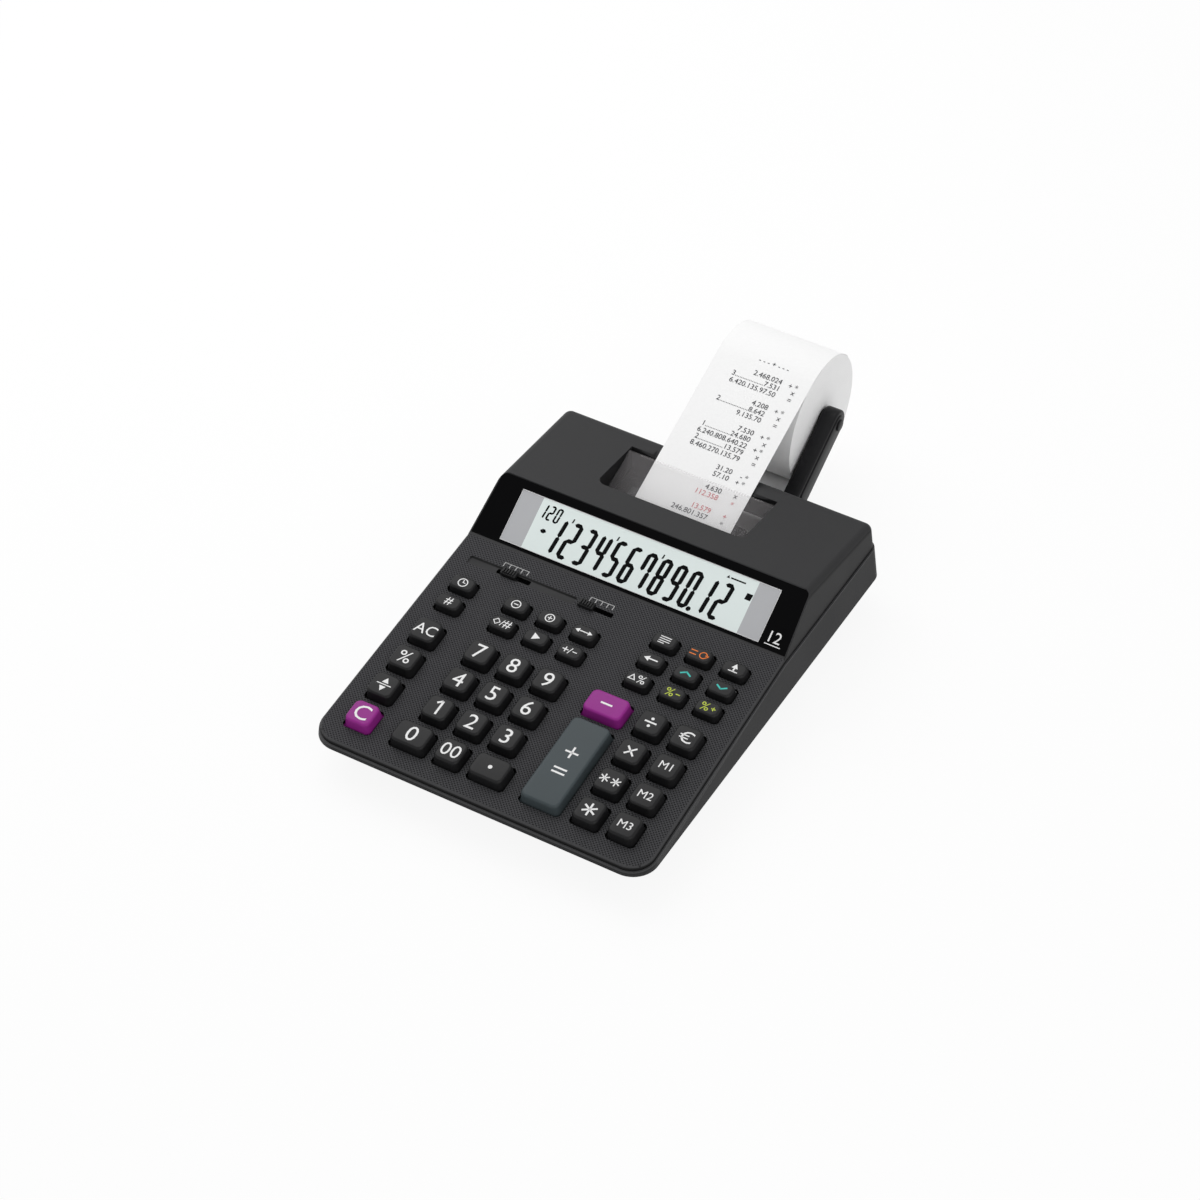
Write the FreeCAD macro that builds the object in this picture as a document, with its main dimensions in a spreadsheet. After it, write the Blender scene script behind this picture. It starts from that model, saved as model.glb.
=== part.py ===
"""Desk calculator with a roll printer, as a parametric FreeCAD document (millimetres).

Frame: +Z up, the user sits at -Y, +X is to the user's right.  The origin is on the desk, under the
middle of the whole object, so the case's front edge lies half the overall depth in front of it.
Depths below are measured from the case's front edge.
"""
import FreeCAD
import Part
import math
import os

from FreeCAD import Placement, Rotation, Vector

# Driving dimensions: alias, value, what it is

SIZES = [
    ("case_width", 195.0, "case width at the lower case's widest line"),
    ("case_depth", 256.5, "front edge to the rear wall, at the same line"),
    ("corner_radius", 14.0, "plan corners of the case at the front"),
    ("rear_corner_radius", 9.0, "plan corners of the case at the rear"),
    ("case_taper", 6.6, "inward lean of the side walls, degrees"),
    ("wall", 2.2, "moulded wall thickness"),
    ("foot_height", 2.0, "rubber foot"),
    ("foot_radius", 6.5, "rubber foot"),
    ("foot_inset", 13.0, "foot centre from the edge of the base"),
    ("belly_height", 18.0, "tucked-in belly under the widest line"),
    ("belly_inset_side", 12.0, "belly inset at the sides"),
    ("belly_inset_front", 17.0, "belly inset at the front"),
    ("belly_inset_rear", 12.0, "belly inset at the rear"),
    ("belly_radius", 9.0, "plan corners of the base"),
    ("seam_step", 0.8, "upper case set in from the lower case's rim"),
    ("seam_drop", 2.6, "seam below the key deck"),
    ("seam_rear_height", 40.0, "seam beside the display and printer"),
    ("deck_front_height", 25.3, "key deck at the front edge"),
    ("deck_tilt", 6.59, "slope of the key deck, degrees"),
    ("deck_end", 151.2, "depth where the display slope starts"),
    ("ridge_depth", 183.0, "top of the display slope"),
    ("ridge_height", 63.0, "top of the display slope"),
    ("roof_rear_height", 54.5, "top of the rear wall"),
    ("deck_fillet", 1.2, "rounded edge round the key deck"),
    ("roof_fillet", 4.5, "rounded edges of the roof"),
    ("key_pitch", 20.2, "column pitch"),
    ("row_pitch", 20.35, "row pitch of the number keys"),
    ("row_first", 20.2, "bottom key row, along the deck"),
    ("small_row_first", 103.6, "lowest row of small keys, along the deck"),
    ("small_row_pitch", 14.1, "row pitch of the small keys"),
    ("column_left", -76.5, "single key column at the left"),
    ("column_number", -24.1, "middle number column"),
    ("column_plus", 30.4, "plus and minus keys"),
    ("column_operator", 55.8, "middle column at the right"),
    ("key_width", 15.9, "number key at its base"),
    ("key_depth", 15.9, "number key at its base"),
    ("key_height", 5.6, "number key above the deck"),
    ("small_key_width", 14.9, "small key at its base"),
    ("small_key_depth", 10.2, "small key at its base"),
    ("small_key_height", 4.4, "small key above the deck"),
    ("wide_key_width", 21.2, "zero and point keys"),
    ("plus_key_width", 23.4, "plus and minus keys"),
    ("plus_key_depth", 57.0, "tall plus key"),
    ("key_taper", 6.0, "lean of the key walls, degrees"),
    ("key_corner", 1.6, "cut corners of a key"),
    ("key_chamfer", 0.7, "broken edge round a key's top"),
    ("key_gap", 0.35, "gap between a key's base and its opening"),
    ("key_play", 0.2, "gap between a key's flange and the deck"),
    ("flange_lip", 1.0, "flange of a key beyond its opening"),
    ("flange_thickness", 1.2, "flange of a key"),
    ("stem_width", 4.0, "square stem under a key"),
    ("stem_length", 1.0, "stem under the flange"),
    ("dome_gap", 0.3, "gap between a stem and its rubber dome"),
    ("dome_height", 2.8, "rubber dome above its sheet"),
    ("dome_width", 6.0, "rubber dome"),
    ("sheet_thickness", 1.0, "rubber dome sheet"),
    ("board_thickness", 1.6, "circuit board"),
    ("board_width", 172.0, "circuit board and dome sheet"),
    ("board_front", 11.0, "front of the board, along the deck"),
    ("board_rear", 146.0, "rear of the board, along the deck"),
    ("board_corner", 4.0, "plan corners of the board and dome sheet"),
    ("boss_width", 4.2, "square bosses that carry the board"),
    ("boss_clearance", 0.6, "sheet's holes round the bosses"),
    ("panel_margin", 0.9, "display panel inside the slope's edges"),
    ("panel_thickness", 1.5, "display panel"),
    ("panel_corner", 3.0, "upper corners of the display panel"),
    ("panel_gap", 0.15, "gap round the display panel"),
    ("window_width", 154.4, "display window"),
    ("window_low", 2.5, "lower edge of the window, along the slope"),
    ("window_top_margin", 5.2, "upper edge of the window under the ridge, along the slope"),
    ("window_corner", 0.8, "corners of the display window"),
    ("glass_gap", 0.3, "gap between the display's glass and its window"),
    ("glass_depth", 0.5, "display's glass below the panel's face"),
    ("module_margin", 4.0, "display module's plate beyond the window, each side"),
    ("module_thickness", 2.4, "display module's plate"),
    ("module_edge", 1.0, "display module's plate beyond the window, above and below"),
    ("switch_line", 136.5, "slide switches, along the deck"),
    ("switch_groove_left", -84.5, "left end of the finger groove"),
    ("switch_groove_right", -20.5, "right end of the finger groove"),
    ("switch_groove_width", 5.4, "finger groove along the deck"),
    ("switch_groove_depth", 0.8, "finger groove"),
    ("switch_groove_corner", 1.0, "corners of the finger groove"),
    ("switch_slot_corner", 0.8, "corners of the knobs' slots"),
    ("switch_left", -60.0, "left knob"),
    ("switch_right", -13.5, "right knob"),
    ("knob_width", 9.0, "slide knob"),
    ("knob_depth", 4.6, "slide knob"),
    ("knob_height", 3.0, "slide knob above the deck"),
    ("knob_corner", 0.8, "cut corners of a knob"),
    ("knob_gap", 0.3, "knob above the deck, and stem in its slot"),
    ("knob_stem", 2.4, "stem of a knob, along the deck"),
    ("knob_foot", 1.2, "foot plate of a knob under the deck"),
    ("left_travel_down", 5.0, "left knob's travel to the left"),
    ("left_travel_up", 10.0, "left knob's travel to the right"),
    ("right_travel", 13.0, "right knob's travel to the right"),
    ("printer_x", -2.0, "printer's middle, from the case's middle"),
    ("well_width", 88.0, "printer well"),
    ("well_front", 201.5, "front wall of the well"),
    ("well_rear", 239.6, "rear wall of the well"),
    ("well_depth", 20.0, "well's walls under the roof"),
    ("well_corner", 5.0, "front corners of the well"),
    ("cover_thickness", 1.4, "smoked cover"),
    ("cover_gap", 0.4, "gap between cover and well"),
    ("cover_hinge_depth", 205.5, "cover's hinge"),
    ("cover_hinge_drop", 16.0, "cover's hinge under the roof"),
    ("cover_pin_radius", 1.2, "cover's hinge pins"),
    ("cover_pin_reach", 1.65, "cover's hinge pins in the well's walls"),
    ("pin_clearance", 0.06, "running clearance of pins and axles"),
    ("tear_edge_depth", 236.5, "cover's rear edge"),
    ("tear_edge_drop", 0.9, "middle of the cover's rear edge under the roof"),
    ("paper_width", 57.5, "paper"),
    ("paper_thickness", 0.3, "paper, thicker than life so that it holds up as a solid"),
    ("paper_gap", 0.35, "gap between paper and rollers"),
    ("paper_side_gap", 2.2, "paper to the edges of its slots"),
    ("exit_depth", 238.0, "where the paper leaves the printer"),
    ("exit_height", 54.6, "where the paper leaves the printer"),
    ("slot_height", 5.0, "paper slot in the rear wall"),
    ("notch_depth", 1.2, "lip behind the well, cut down under the tape"),
    ("tape_end_angle", 38.0, "where the tape's free end lies on the roll, degrees from the rear"),
    ("roll_axis_depth", 319.6, "axis of the paper roll"),
    ("roll_axis_height", 47.4, "axis of the paper roll"),
    ("roll_radius", 36.8, "paper roll"),
    ("core_radius", 6.0, "pins that carry the roll"),
    ("arm_gap", 1.2, "gap between roll and arm"),
    ("arm_thickness", 9.0, "roll arm"),
    ("arm_head_radius", 8.0, "roll arm round the roll's axis"),
    ("arm_foot_radius", 7.0, "roll arm round its pivot"),
    ("arm_pin_length", 7.0, "pin into the roll's core"),
    ("nub_radius", 3.4, "round nub on the outside of an arm's head"),
    ("nub_height", 1.6, "round nub on the outside of an arm's head"),
    ("arm_pivot_depth", 266.0, "pivot of the roll arms"),
    ("arm_pivot_height", 15.5, "pivot of the roll arms"),
    ("pivot_radius", 2.5, "pivot stubs of the roll arms"),
    ("lug_thickness", 4.0, "lugs that carry the roll arms"),
    ("lug_gap", 0.3, "gap between lug and arm"),
    ("lug_radius", 5.0, "lugs round the pivot"),
    ("lug_root", 7.5, "how far the lugs reach into the rear wall"),
    ("platen_depth", 220.0, "platen roller's axis"),
    ("platen_radius", 6.0, "platen roller"),
    ("platen_length", 62.0, "platen roller"),
    ("axle_radius", 2.0, "platen's axle"),
    ("cheek_gap", 1.0, "platen's end to the printer's cheeks"),
    ("cheek_thickness", 2.4, "printer's side cheeks"),
    ("cheek_margin", 2.0, "cheeks round the platen's axle"),
    ("frame_floor", 2.4, "printer frame's floor plate"),
    ("frame_drop", 12.0, "frame's floor under the platen's axis"),
    ("frame_front", 190.0, "front of the printer frame"),
    ("head_gap", 1.0, "print head to the paper"),
    ("head_height", 10.0, "print head block"),
    ("post_width", 7.0, "square posts that carry the printer frame"),
    ("cell_radius", 7.1, "battery cell"),
    ("cell_length", 50.0, "battery cell"),
    ("cell_gap", 0.5, "gap round a battery cell"),
    ("cell_count", 4.0, "battery cells"),
    ("bay_front", 122.0, "front of the battery bay"),
    ("bay_end_gap", 2.5, "contacts at each end of a cell"),
    ("bay_wall", 1.6, "walls of the battery bay"),
    ("lid_gap", 0.3, "gap round the battery cover"),
    ("lid_thickness", 2.0, "battery cover"),
    ("lid_pin_radius", 0.7, "battery cover's hinge pins"),
    ("lid_pin_reach", 1.2, "battery cover's hinge pins in the case"),
    ("jack_radius", 3.2, "adapter inlet in the left side"),
    ("jack_depth", 214.0, "adapter inlet"),
    ("jack_height", 30.0, "adapter inlet"),
]

doc = FreeCAD.newDocument("desk_calculator")
sheet = doc.addObject("Spreadsheet::Sheet", "Sizes")
for row, (alias, value, note) in enumerate(SIZES, 1):
    sheet.set(f"A{row}", alias)
    sheet.set(f"B{row}", str(value))
    sheet.setAlias(f"B{row}", alias)
    sheet.set(f"C{row}", note)
doc.recompute()


class Cells:
    """The sheet's cells as plain attributes, for places that are worked out here."""

    def __getattr__(self, alias):
        return float(sheet.get(alias))


v = Cells()

front = -(v.roll_axis_depth + v.roll_radius) / 2
X_AXIS = Vector(1, 0, 0)
Y_AXIS = Vector(0, 1, 0)
Z_AXIS = Vector(0, 0, 1)
ROUND_X = Rotation(Y_AXIS, 90)
SIDE_VIEW = Rotation(Vector(1, 1, 1), 120)
RIGHT_ANGLE = math.pi / 2
BEYOND = 40.0
CLEAR = 5.0

# Places worked out from the driving dimensions

tilt = math.radians(v.deck_tilt)
belly_top = v.foot_height + v.belly_height
base_width = v.case_width - 2 * v.belly_inset_side
base_depth = v.case_depth - v.belly_inset_front - v.belly_inset_rear


def deck_height(depth):
    return v.deck_front_height + depth * math.tan(tilt)


def roof_height(depth):
    fall = (v.ridge_height - v.roof_rear_height) / (v.case_depth - v.ridge_depth)
    return v.ridge_height - (depth - v.ridge_depth) * fall


slope_run = v.ridge_depth - v.deck_end
slope_rise = v.ridge_height - deck_height(v.deck_end)
slope_angle = math.degrees(math.atan2(slope_rise, slope_run))
slope_length = math.hypot(slope_run, slope_rise)

DECK = Placement(Vector(0, front, v.deck_front_height), Rotation(X_AXIS, v.deck_tilt))
SLOPE_START = Vector(0, front + v.deck_end, deck_height(v.deck_end))
SLOPE = Placement(SLOPE_START, Rotation(X_AXIS, slope_angle))
SIDE = Placement(Vector(0, front, 0), SIDE_VIEW)


# Document helpers

def bind(thing, expressions):
    for prop, expression in expressions.items():
        thing.setExpression(prop, expression)
    return thing


def lines(sketch, points):
    """A closed outline of straight lines."""
    for start, end in zip(points, points[1:] + points[:1]):
        sketch.addGeometry(Part.LineSegment(Vector(*start, 0), Vector(*end, 0)), False)


def rounded(sketch, middle, width, depth, radius, rear=None):
    """A closed rectangle with round corners, whose rear corners may have a radius of their own."""
    rear = radius if rear is None else rear
    x0, x1 = middle[0] - width / 2, middle[0] + width / 2
    y0, y1 = middle[1] - depth / 2, middle[1] + depth / 2
    sides = [((x0 + radius, y0), (x1 - radius, y0)), ((x1, y0 + radius), (x1, y1 - rear)),
             ((x1 - rear, y1), (x0 + rear, y1)), ((x0, y1 - rear), (x0, y0 + radius))]
    corners = [(x1 - radius, y0 + radius, radius), (x1 - rear, y1 - rear, rear),
               (x0 + rear, y1 - rear, rear), (x0 + radius, y0 + radius, radius)]
    for number, ((start, end), (cx, cy, r)) in enumerate(zip(sides, corners)):
        sketch.addGeometry(Part.LineSegment(Vector(*start, 0), Vector(*end, 0)), False)
        first = (number - 1) * RIGHT_ANGLE
        circle = Part.Circle(Vector(cx, cy, 0), Z_AXIS, r)
        sketch.addGeometry(Part.ArcOfCircle(circle, first, first + RIGHT_ANGLE), False)


def cut_cornered(sketch, middle, width, depth, corner):
    """A closed rectangle with its corners cut at 45 degrees."""
    x, y = width / 2, depth / 2
    quarter = [(x, corner - y), (x, y - corner), (x - corner, y)]
    points = quarter + [(-px, py) for px, py in reversed(quarter)]
    points = [(x - corner, -y)] + points + [(corner - x, -y)]
    lines(sketch, [(middle[0] + px, middle[1] + py) for px, py in points])


def rectangle(sketch, half_x, half_y, middle=(0, 0)):
    """A closed rectangle about a point."""
    corners = [(-half_x, -half_y), (half_x, -half_y), (half_x, half_y), (-half_x, half_y)]
    lines(sketch, [(middle[0] + x, middle[1] + y) for x, y in corners])


def loose_sketch(name, place):
    sketch = doc.addObject("Sketcher::SketchObject", name)
    sketch.Placement = place
    return sketch


def raised(place, height):
    """The same placement, moved along its own Z."""
    return place.multiply(Placement(Vector(0, 0, height), Rotation()))


def extrude(name, sketch, forward, reverse="0", taper="0"):
    """A solid between two offsets of a sketch along its normal."""
    solid = doc.addObject("Part::Extrusion", name)
    solid.Base = sketch
    solid.DirMode = "Normal"
    solid.Solid = True
    return bind(solid, {"LengthFwd": forward, "LengthRev": reverse, "TaperAngle": taper})


def cylinder(name, radius, length, place):
    solid = doc.addObject("Part::Cylinder", name)
    solid.Placement = place
    return bind(solid, {"Radius": radius, "Height": length})


def square_post(name, side, length, place):
    """A square bar that stands on the middle of a placement."""
    solid = doc.addObject("Part::Box", name)
    solid.Placement = place.multiply(Placement(Vector(-side / 2, -side / 2, 0), Rotation()))
    solid.Length, solid.Width, solid.Height = side, side, length
    return solid


def block(name, low, high):
    """A box between two corners given as numbers."""
    solid = doc.addObject("Part::Box", name)
    solid.Placement = Placement(Vector(*low), Rotation())
    solid.Length, solid.Width, solid.Height = [b - a for a, b in zip(low, high)]
    return solid


def fuse(name, shapes):
    whole = doc.addObject("Part::MultiFuse", name)
    whole.Shapes = shapes
    whole.Refine = True
    return whole


def common(name, shapes):
    shared = doc.addObject("Part::MultiCommon", name)
    shared.Shapes = shapes
    return shared


def cut(name, base, tool):
    left = doc.addObject("Part::Cut", name)
    left.Base = base
    left.Tool = tool
    return left


def fillet(name, base, radius, chosen):
    """Rounds the edges of base for which chosen(edge) is true."""
    doc.recompute()
    round_edges = doc.addObject("Part::Fillet", name)
    round_edges.Base = base
    numbers = [number for number, edge in enumerate(base.Shape.Edges, 1) if chosen(edge)]
    round_edges.Edges = [(number, radius, radius) for number in numbers]
    return round_edges


def offset_chain(points, distance):
    """A polyline moved sideways by distance, to its right."""
    moved = []
    for (ax, ay), (bx, by) in zip(points, points[1:]):
        length = math.hypot(bx - ax, by - ay)
        shift = (distance * (by - ay) / length, -distance * (bx - ax) / length)
        moved.append(((ax + shift[0], ay + shift[1]), (bx + shift[0], by + shift[1])))
    result = [moved[0][0]]
    for (p, q), (r, s) in zip(moved, moved[1:]):
        d1 = (q[0] - p[0], q[1] - p[1])
        d2 = (s[0] - r[0], s[1] - r[1])
        along = ((r[0] - p[0]) * d2[1] - (r[1] - p[1]) * d2[0]) / (d1[0] * d2[1] - d1[1] * d2[0])
        result.append((p[0] + along * d1[0], p[1] + along * d1[1]))
    return result + [moved[-1][1]]


# Key layout: name, column, place along the deck, width, depth, height

def row(number):
    return v.row_first + number * v.row_pitch


def small_row(number):
    return v.small_row_first + number * v.small_row_pitch


def number_column(number):
    return v.column_number + (number - 1) * v.key_pitch


def operator_column(number):
    return v.column_operator + (number - 1) * v.key_pitch


def number_key(name, x, along):
    return (name, x, along, "key_width", "key_depth", "key_height")


def small_key(name, x, along):
    return (name, x, along, "small_key_width", "small_key_depth", "small_key_height")


def key_layout():
    keys = []
    for number, name in enumerate(["clear", "markup", "percent", "clear_all"]):
        keys.append(number_key(f"key_{name}", v.column_left, row(number)))
    for number, name in enumerate(["item", "time"]):
        keys.append(small_key(f"key_{name}", v.column_left, small_row(number)))
    for digit in range(1, 10):
        keys.append(number_key(f"key_{digit}", number_column((digit - 1) % 3), row(1 + (digit - 1) // 3)))
    spare = (v.wide_key_width - v.key_width) / 2
    keys.append(("key_0", number_column(0) - spare, row(0), "wide_key_width", "key_depth", "key_height"))
    keys.append(number_key("key_00", number_column(1), row(0)))
    keys.append(("key_point", number_column(2) + spare, row(0), "wide_key_width", "key_depth", "key_height"))
    for number, names in enumerate([["hash", "shift", "sign"], ["cost", "sell", "margin"]]):
        for column, name in enumerate(names):
            keys.append(small_key(f"key_{name}", number_column(column), small_row(number)))
    right_rows = [["delta", "tax_minus", "tax_plus"], ["correct", "up", "down"], ["print", "reprint", "feed"]]
    for number, names in enumerate(right_rows):
        for column, name in enumerate(names):
            keys.append(small_key(f"key_{name}", operator_column(column), small_row(number)))
    for number, name in enumerate(["total", "grand_total", "multiply", "divide"]):
        keys.append(number_key(f"key_{name}", operator_column(1), row(number)))
    for number, name in enumerate(["memory_3", "memory_2", "memory_1", "currency"]):
        keys.append(number_key(f"key_{name}", operator_column(2), row(number)))
    keys.append(("key_minus", v.column_plus, row(3), "plus_key_width", "key_depth", "key_height"))
    keys.append(("key_plus", v.column_plus, row(1), "plus_key_width", "plus_key_depth", "key_height"))
    return keys


KEYS = key_layout()
parts = []


def keep(solid, node):
    solid.Label = node
    parts.append((node, solid))
    return solid


# Keys: a tapered cap with a broken top edge, a flange under the deck and a square stem

def body_sketch(body, name, height):
    """A sketch in a body's own XY plane, at a height given as an expression."""
    sketch = body.newObject("Sketcher::SketchObject", name)
    plane = [feature for feature in body.Origin.OriginFeatures if feature.Role == "XY_Plane"][0]
    sketch.AttachmentSupport = [(plane, "")]
    sketch.MapMode = "FlatFace"
    return bind(sketch, {"AttachmentOffset.Base.z": height})


def pad(body, name, sketch, length, downwards=False):
    feature = body.newObject("PartDesign::Pad", name)
    feature.Profile = sketch
    feature.Reversed = downwards
    return bind(feature, {"Length": length})


FLANGE_TOP = "(-Sizes.wall - Sizes.key_play)"
KEY_FOOT = f"({FLANGE_TOP} - Sizes.flange_thickness)"


def faces_where(feature, chosen):
    """Names of a feature's faces whose outward normal passes a test."""
    doc.recompute()
    faces = enumerate(feature.Shape.Faces, 1)
    return [f"Face{number}" for number, face in faces if chosen(face.normalAt(0, 0))]


def key_cap(node, x, along, width, depth, height):
    body = doc.addObject("PartDesign::Body", f"{node}_body")
    outline = body_sketch(body, f"{node}_outline", KEY_FOOT)
    cut_cornered(outline, (0, 0), getattr(v, width), getattr(v, depth), v.key_corner)
    cap = pad(body, f"{node}_cap", outline, f"Sizes.{height} - {KEY_FOOT}")
    lean = body.newObject("PartDesign::Draft", f"{node}_lean")
    lean.Base = (cap, faces_where(cap, lambda normal: abs(normal.z) < 0.5))
    lean.NeutralPlane = (cap, faces_where(cap, lambda normal: normal.z < -0.5))
    bind(lean, {"Angle": "Sizes.key_taper"})
    edge = body.newObject("PartDesign::Chamfer", f"{node}_broken_edge")
    edge.Base = (lean, faces_where(lean, lambda normal: normal.z > 0.5))
    bind(edge, {"Size": "Sizes.key_chamfer"})
    lip = body_sketch(body, f"{node}_flange_outline", KEY_FOOT)
    reach = v.key_gap + v.flange_lip
    rectangle(lip, getattr(v, width) / 2 + reach, getattr(v, depth) / 2 + reach)
    pad(body, f"{node}_flange", lip, "Sizes.flange_thickness")
    stem = body_sketch(body, f"{node}_stem_outline", KEY_FOOT)
    rectangle(stem, v.stem_width / 2, v.stem_width / 2)
    pad(body, f"{node}_stem", stem, "Sizes.stem_length", downwards=True)
    body.Placement = DECK.multiply(Placement(Vector(x, along, 0), Rotation()))
    return keep(body, node)


# Case: outline in plan, drawn in by a margin, and the line of its top in side view

def plan_outline(name, height, margin):
    sketch = loose_sketch(name, Placement(Vector(0, front, height), Rotation()))
    middle = (0, v.case_depth / 2)
    corners = (v.corner_radius - margin, v.rear_corner_radius - margin)
    rounded(sketch, middle, v.case_width - 2 * margin, v.case_depth - 2 * margin, *corners)
    return sketch


def base_outline(name, height, margin):
    sketch = loose_sketch(name, Placement(Vector(0, front, height), Rotation()))
    middle = (0, v.belly_inset_front + base_depth / 2)
    rounded(sketch, middle, base_width - 2 * margin, base_depth - 2 * margin, v.belly_radius - margin)
    return sketch


def top_line():
    """Deck, display slope, roof and rear wall, from the front edge to the widest line at the rear."""
    return [(-BEYOND, deck_height(-BEYOND)), (v.deck_end, deck_height(v.deck_end)),
            (v.ridge_depth, v.ridge_height), (v.case_depth, v.roof_rear_height), (v.case_depth, belly_top)]


def seam_line():
    """The joint between the cases, from the rear wall to the front edge."""
    knee = (v.seam_rear_height + v.seam_drop - v.deck_front_height) / math.tan(tilt)
    return [(knee, v.seam_rear_height), (-BEYOND, deck_height(-BEYOND) - v.seam_drop)]


def slab(name, outline):
    """A side-view outline carried across the whole width."""
    sketch = loose_sketch(f"{name}_outline", SIDE)
    lines(sketch, outline)
    return extrude(name, sketch, "Sizes.case_width", "Sizes.case_width")


def tapered(name, margin):
    """The plan outline drawn in by the walls' lean, from the widest line up past the ridge."""
    sketch = plan_outline(f"{name}_plan", belly_top, margin)
    height = f"Sizes.ridge_height - {belly_top} + Sizes.wall / 2"
    return extrude(name, sketch, height, taper="-Sizes.case_taper")


def horizontal_middle(edge):
    return edge.valueAt((edge.FirstParameter + edge.LastParameter) / 2)


def on_top(edge):
    """True for the edges that the top line and the side walls share."""
    middle = horizontal_middle(edge)
    depth = middle.y - front
    if depth > v.ridge_depth + 1:
        return abs(middle.z - roof_height(depth)) < 0.6
    return depth < v.deck_end - 1 and abs(middle.z - deck_height(depth)) < 0.3


def upper_shell():
    rear_foot = (v.case_depth, v.seam_rear_height)
    outer = common("upper_hull", [tapered("upper_plan", v.seam_step),
                                  slab("upper_side", top_line()[:-1] + [rear_foot] + seam_line())])
    smooth = fillet("upper_roof_round", outer, v.roof_fillet,
                    lambda e: on_top(e) and horizontal_middle(e).y - front > v.deck_end)
    smooth = fillet("upper_deck_round", smooth, v.deck_fillet,
                    lambda e: on_top(e) and horizontal_middle(e).y - front < v.deck_end - 1)
    inner_top = offset_chain(top_line(), v.wall)
    hollow = common("upper_hollow", [tapered("upper_inside", v.seam_step + v.wall),
                                     slab("upper_inside_side", inner_top + [(-BEYOND, belly_top - BEYOND)])])
    return cut("upper_shell", smooth, hollow), outer


def key_openings():
    sketch = loose_sketch("key_opening_outlines", raised(DECK, -BEYOND / 4))
    for node, x, along, width, depth, height in KEYS:
        gap = 2 * v.key_gap
        cut_cornered(sketch, (x, along), getattr(v, width) + gap, getattr(v, depth) + gap, v.key_corner)
    return extrude("key_openings", sketch, str(BEYOND / 2))


def switch_cuts():
    """Finger groove and the two slots that the knobs' stems slide in."""
    groove = loose_sketch("switch_groove_outline", DECK)
    left, right = v.switch_groove_left, v.switch_groove_right
    middle = ((left + right) / 2, v.switch_line)
    rounded(groove, middle, right - left, v.switch_groove_width, v.switch_groove_corner)
    slots = loose_sketch("switch_slot_outlines", raised(DECK, -BEYOND / 4))
    stem = v.knob_width / 2
    travels = [(v.switch_left, v.left_travel_down, v.left_travel_up),
               (v.switch_right, 0.0, v.right_travel)]
    for x, down, up in travels:
        length = stem + down + up + 2 * v.knob_gap
        middle = (x + (up - down) / 2, v.switch_line)
        rounded(slots, middle, length, v.knob_stem + 2 * v.knob_gap, v.switch_slot_corner)
    return [extrude("switch_groove", groove, str(CLEAR), "Sizes.switch_groove_depth"),
            extrude("switch_slots", slots, str(BEYOND / 2))]


def panel_outline(name, place, gap):
    """The display panel: as wide as the slope, which narrows with the walls' lean."""
    lean = math.tan(math.radians(v.case_taper))
    sketch = loose_sketch(name, place)
    low, high = v.panel_margin - gap, slope_length - v.panel_margin + gap
    points = []
    for along in (low, high):
        height = deck_height(v.deck_end) + along * math.sin(math.radians(slope_angle))
        half = v.case_width / 2 - v.seam_step - (height - belly_top) * lean - v.panel_margin + gap
        points.append((half, along))
    (low_half, low), (high_half, high) = points
    lines(sketch, [(-low_half, low), (low_half, low), (high_half, high), (-high_half, high)])
    return sketch


def panel_plate(name, below, above, gap):
    """The panel's outline as a plate, with its upper corners rounded."""
    outline = panel_outline(f"{name}_outline", raised(SLOPE, -v.panel_thickness), gap)
    plate = extrude(f"{name}_plate", outline, above, below)
    upper = SLOPE.multVec(Vector(0, slope_length / 2, 0)).z
    return fillet(name, plate, v.panel_corner,
                  lambda edge: edge.BoundBox.ZMin > upper and edge.BoundBox.XLength < v.wall)


window_high = slope_length - v.window_top_margin
window_middle = (v.window_low + window_high) / 2


def window_outline(name, place, margin):
    sketch = loose_sketch(name, place)
    height = window_high - v.window_low + 2 * margin
    rounded(sketch, (0, window_middle), v.window_width + 2 * margin, height, v.window_corner)
    return sketch


def display_cuts():
    window = window_outline("window_cut_outline", raised(SLOPE, -BEYOND / 4), 0.0)
    return [panel_plate("panel_seat", "0", f"Sizes.panel_thickness + {CLEAR}", v.panel_gap),
            extrude("window_cut", window, str(BEYOND / 2))]


def printer_span(half):
    return v.printer_x - half, v.printer_x + half


def well_walls(hull):
    left, right = printer_span(v.well_width / 2 + v.wall)
    low = roof_height(v.well_front) - v.well_depth
    body = block("well_block", (left, front + v.well_front - v.wall, low),
                 (right, front + v.well_rear + v.wall, v.ridge_height))
    return common("well_walls", [body, hull])


cover_hinge = (v.cover_hinge_depth, roof_height(v.cover_hinge_depth) - v.cover_hinge_drop)
tear_edge = (v.tear_edge_depth, roof_height(v.tear_edge_depth) - v.tear_edge_drop)


def well_cuts():
    left, right = printer_span(v.well_width / 2)
    opening = block("well_opening", (left, front + v.well_front, belly_top),
                    (right, front + v.well_rear, v.ridge_height + CLEAR))
    rear = front + v.well_rear - CLEAR
    rounded_opening = fillet("well_round", opening, v.well_corner,
                             lambda edge: edge.BoundBox.ZLength > CLEAR and edge.BoundBox.YMax < rear)
    half = v.well_width / 2 + v.wall + CLEAR
    pins = cylinder("cover_pin_holes", "Sizes.cover_pin_radius + Sizes.pin_clearance", str(2 * half),
                    Placement(Vector(v.printer_x - half, front + cover_hinge[0], cover_hinge[1]), ROUND_X))
    return [rounded_opening, pins]


# Paper: one strip from under the roll, through the case, round the platen and back over the roll

def tangent_slope(point, axis, radius):
    """Slope angle of the line from a point over a circle behind it."""
    gap = (axis[0] - point[0], axis[1] - point[1])
    return math.atan2(gap[1], gap[0]) + math.asin(radius / math.hypot(*gap))


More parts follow.
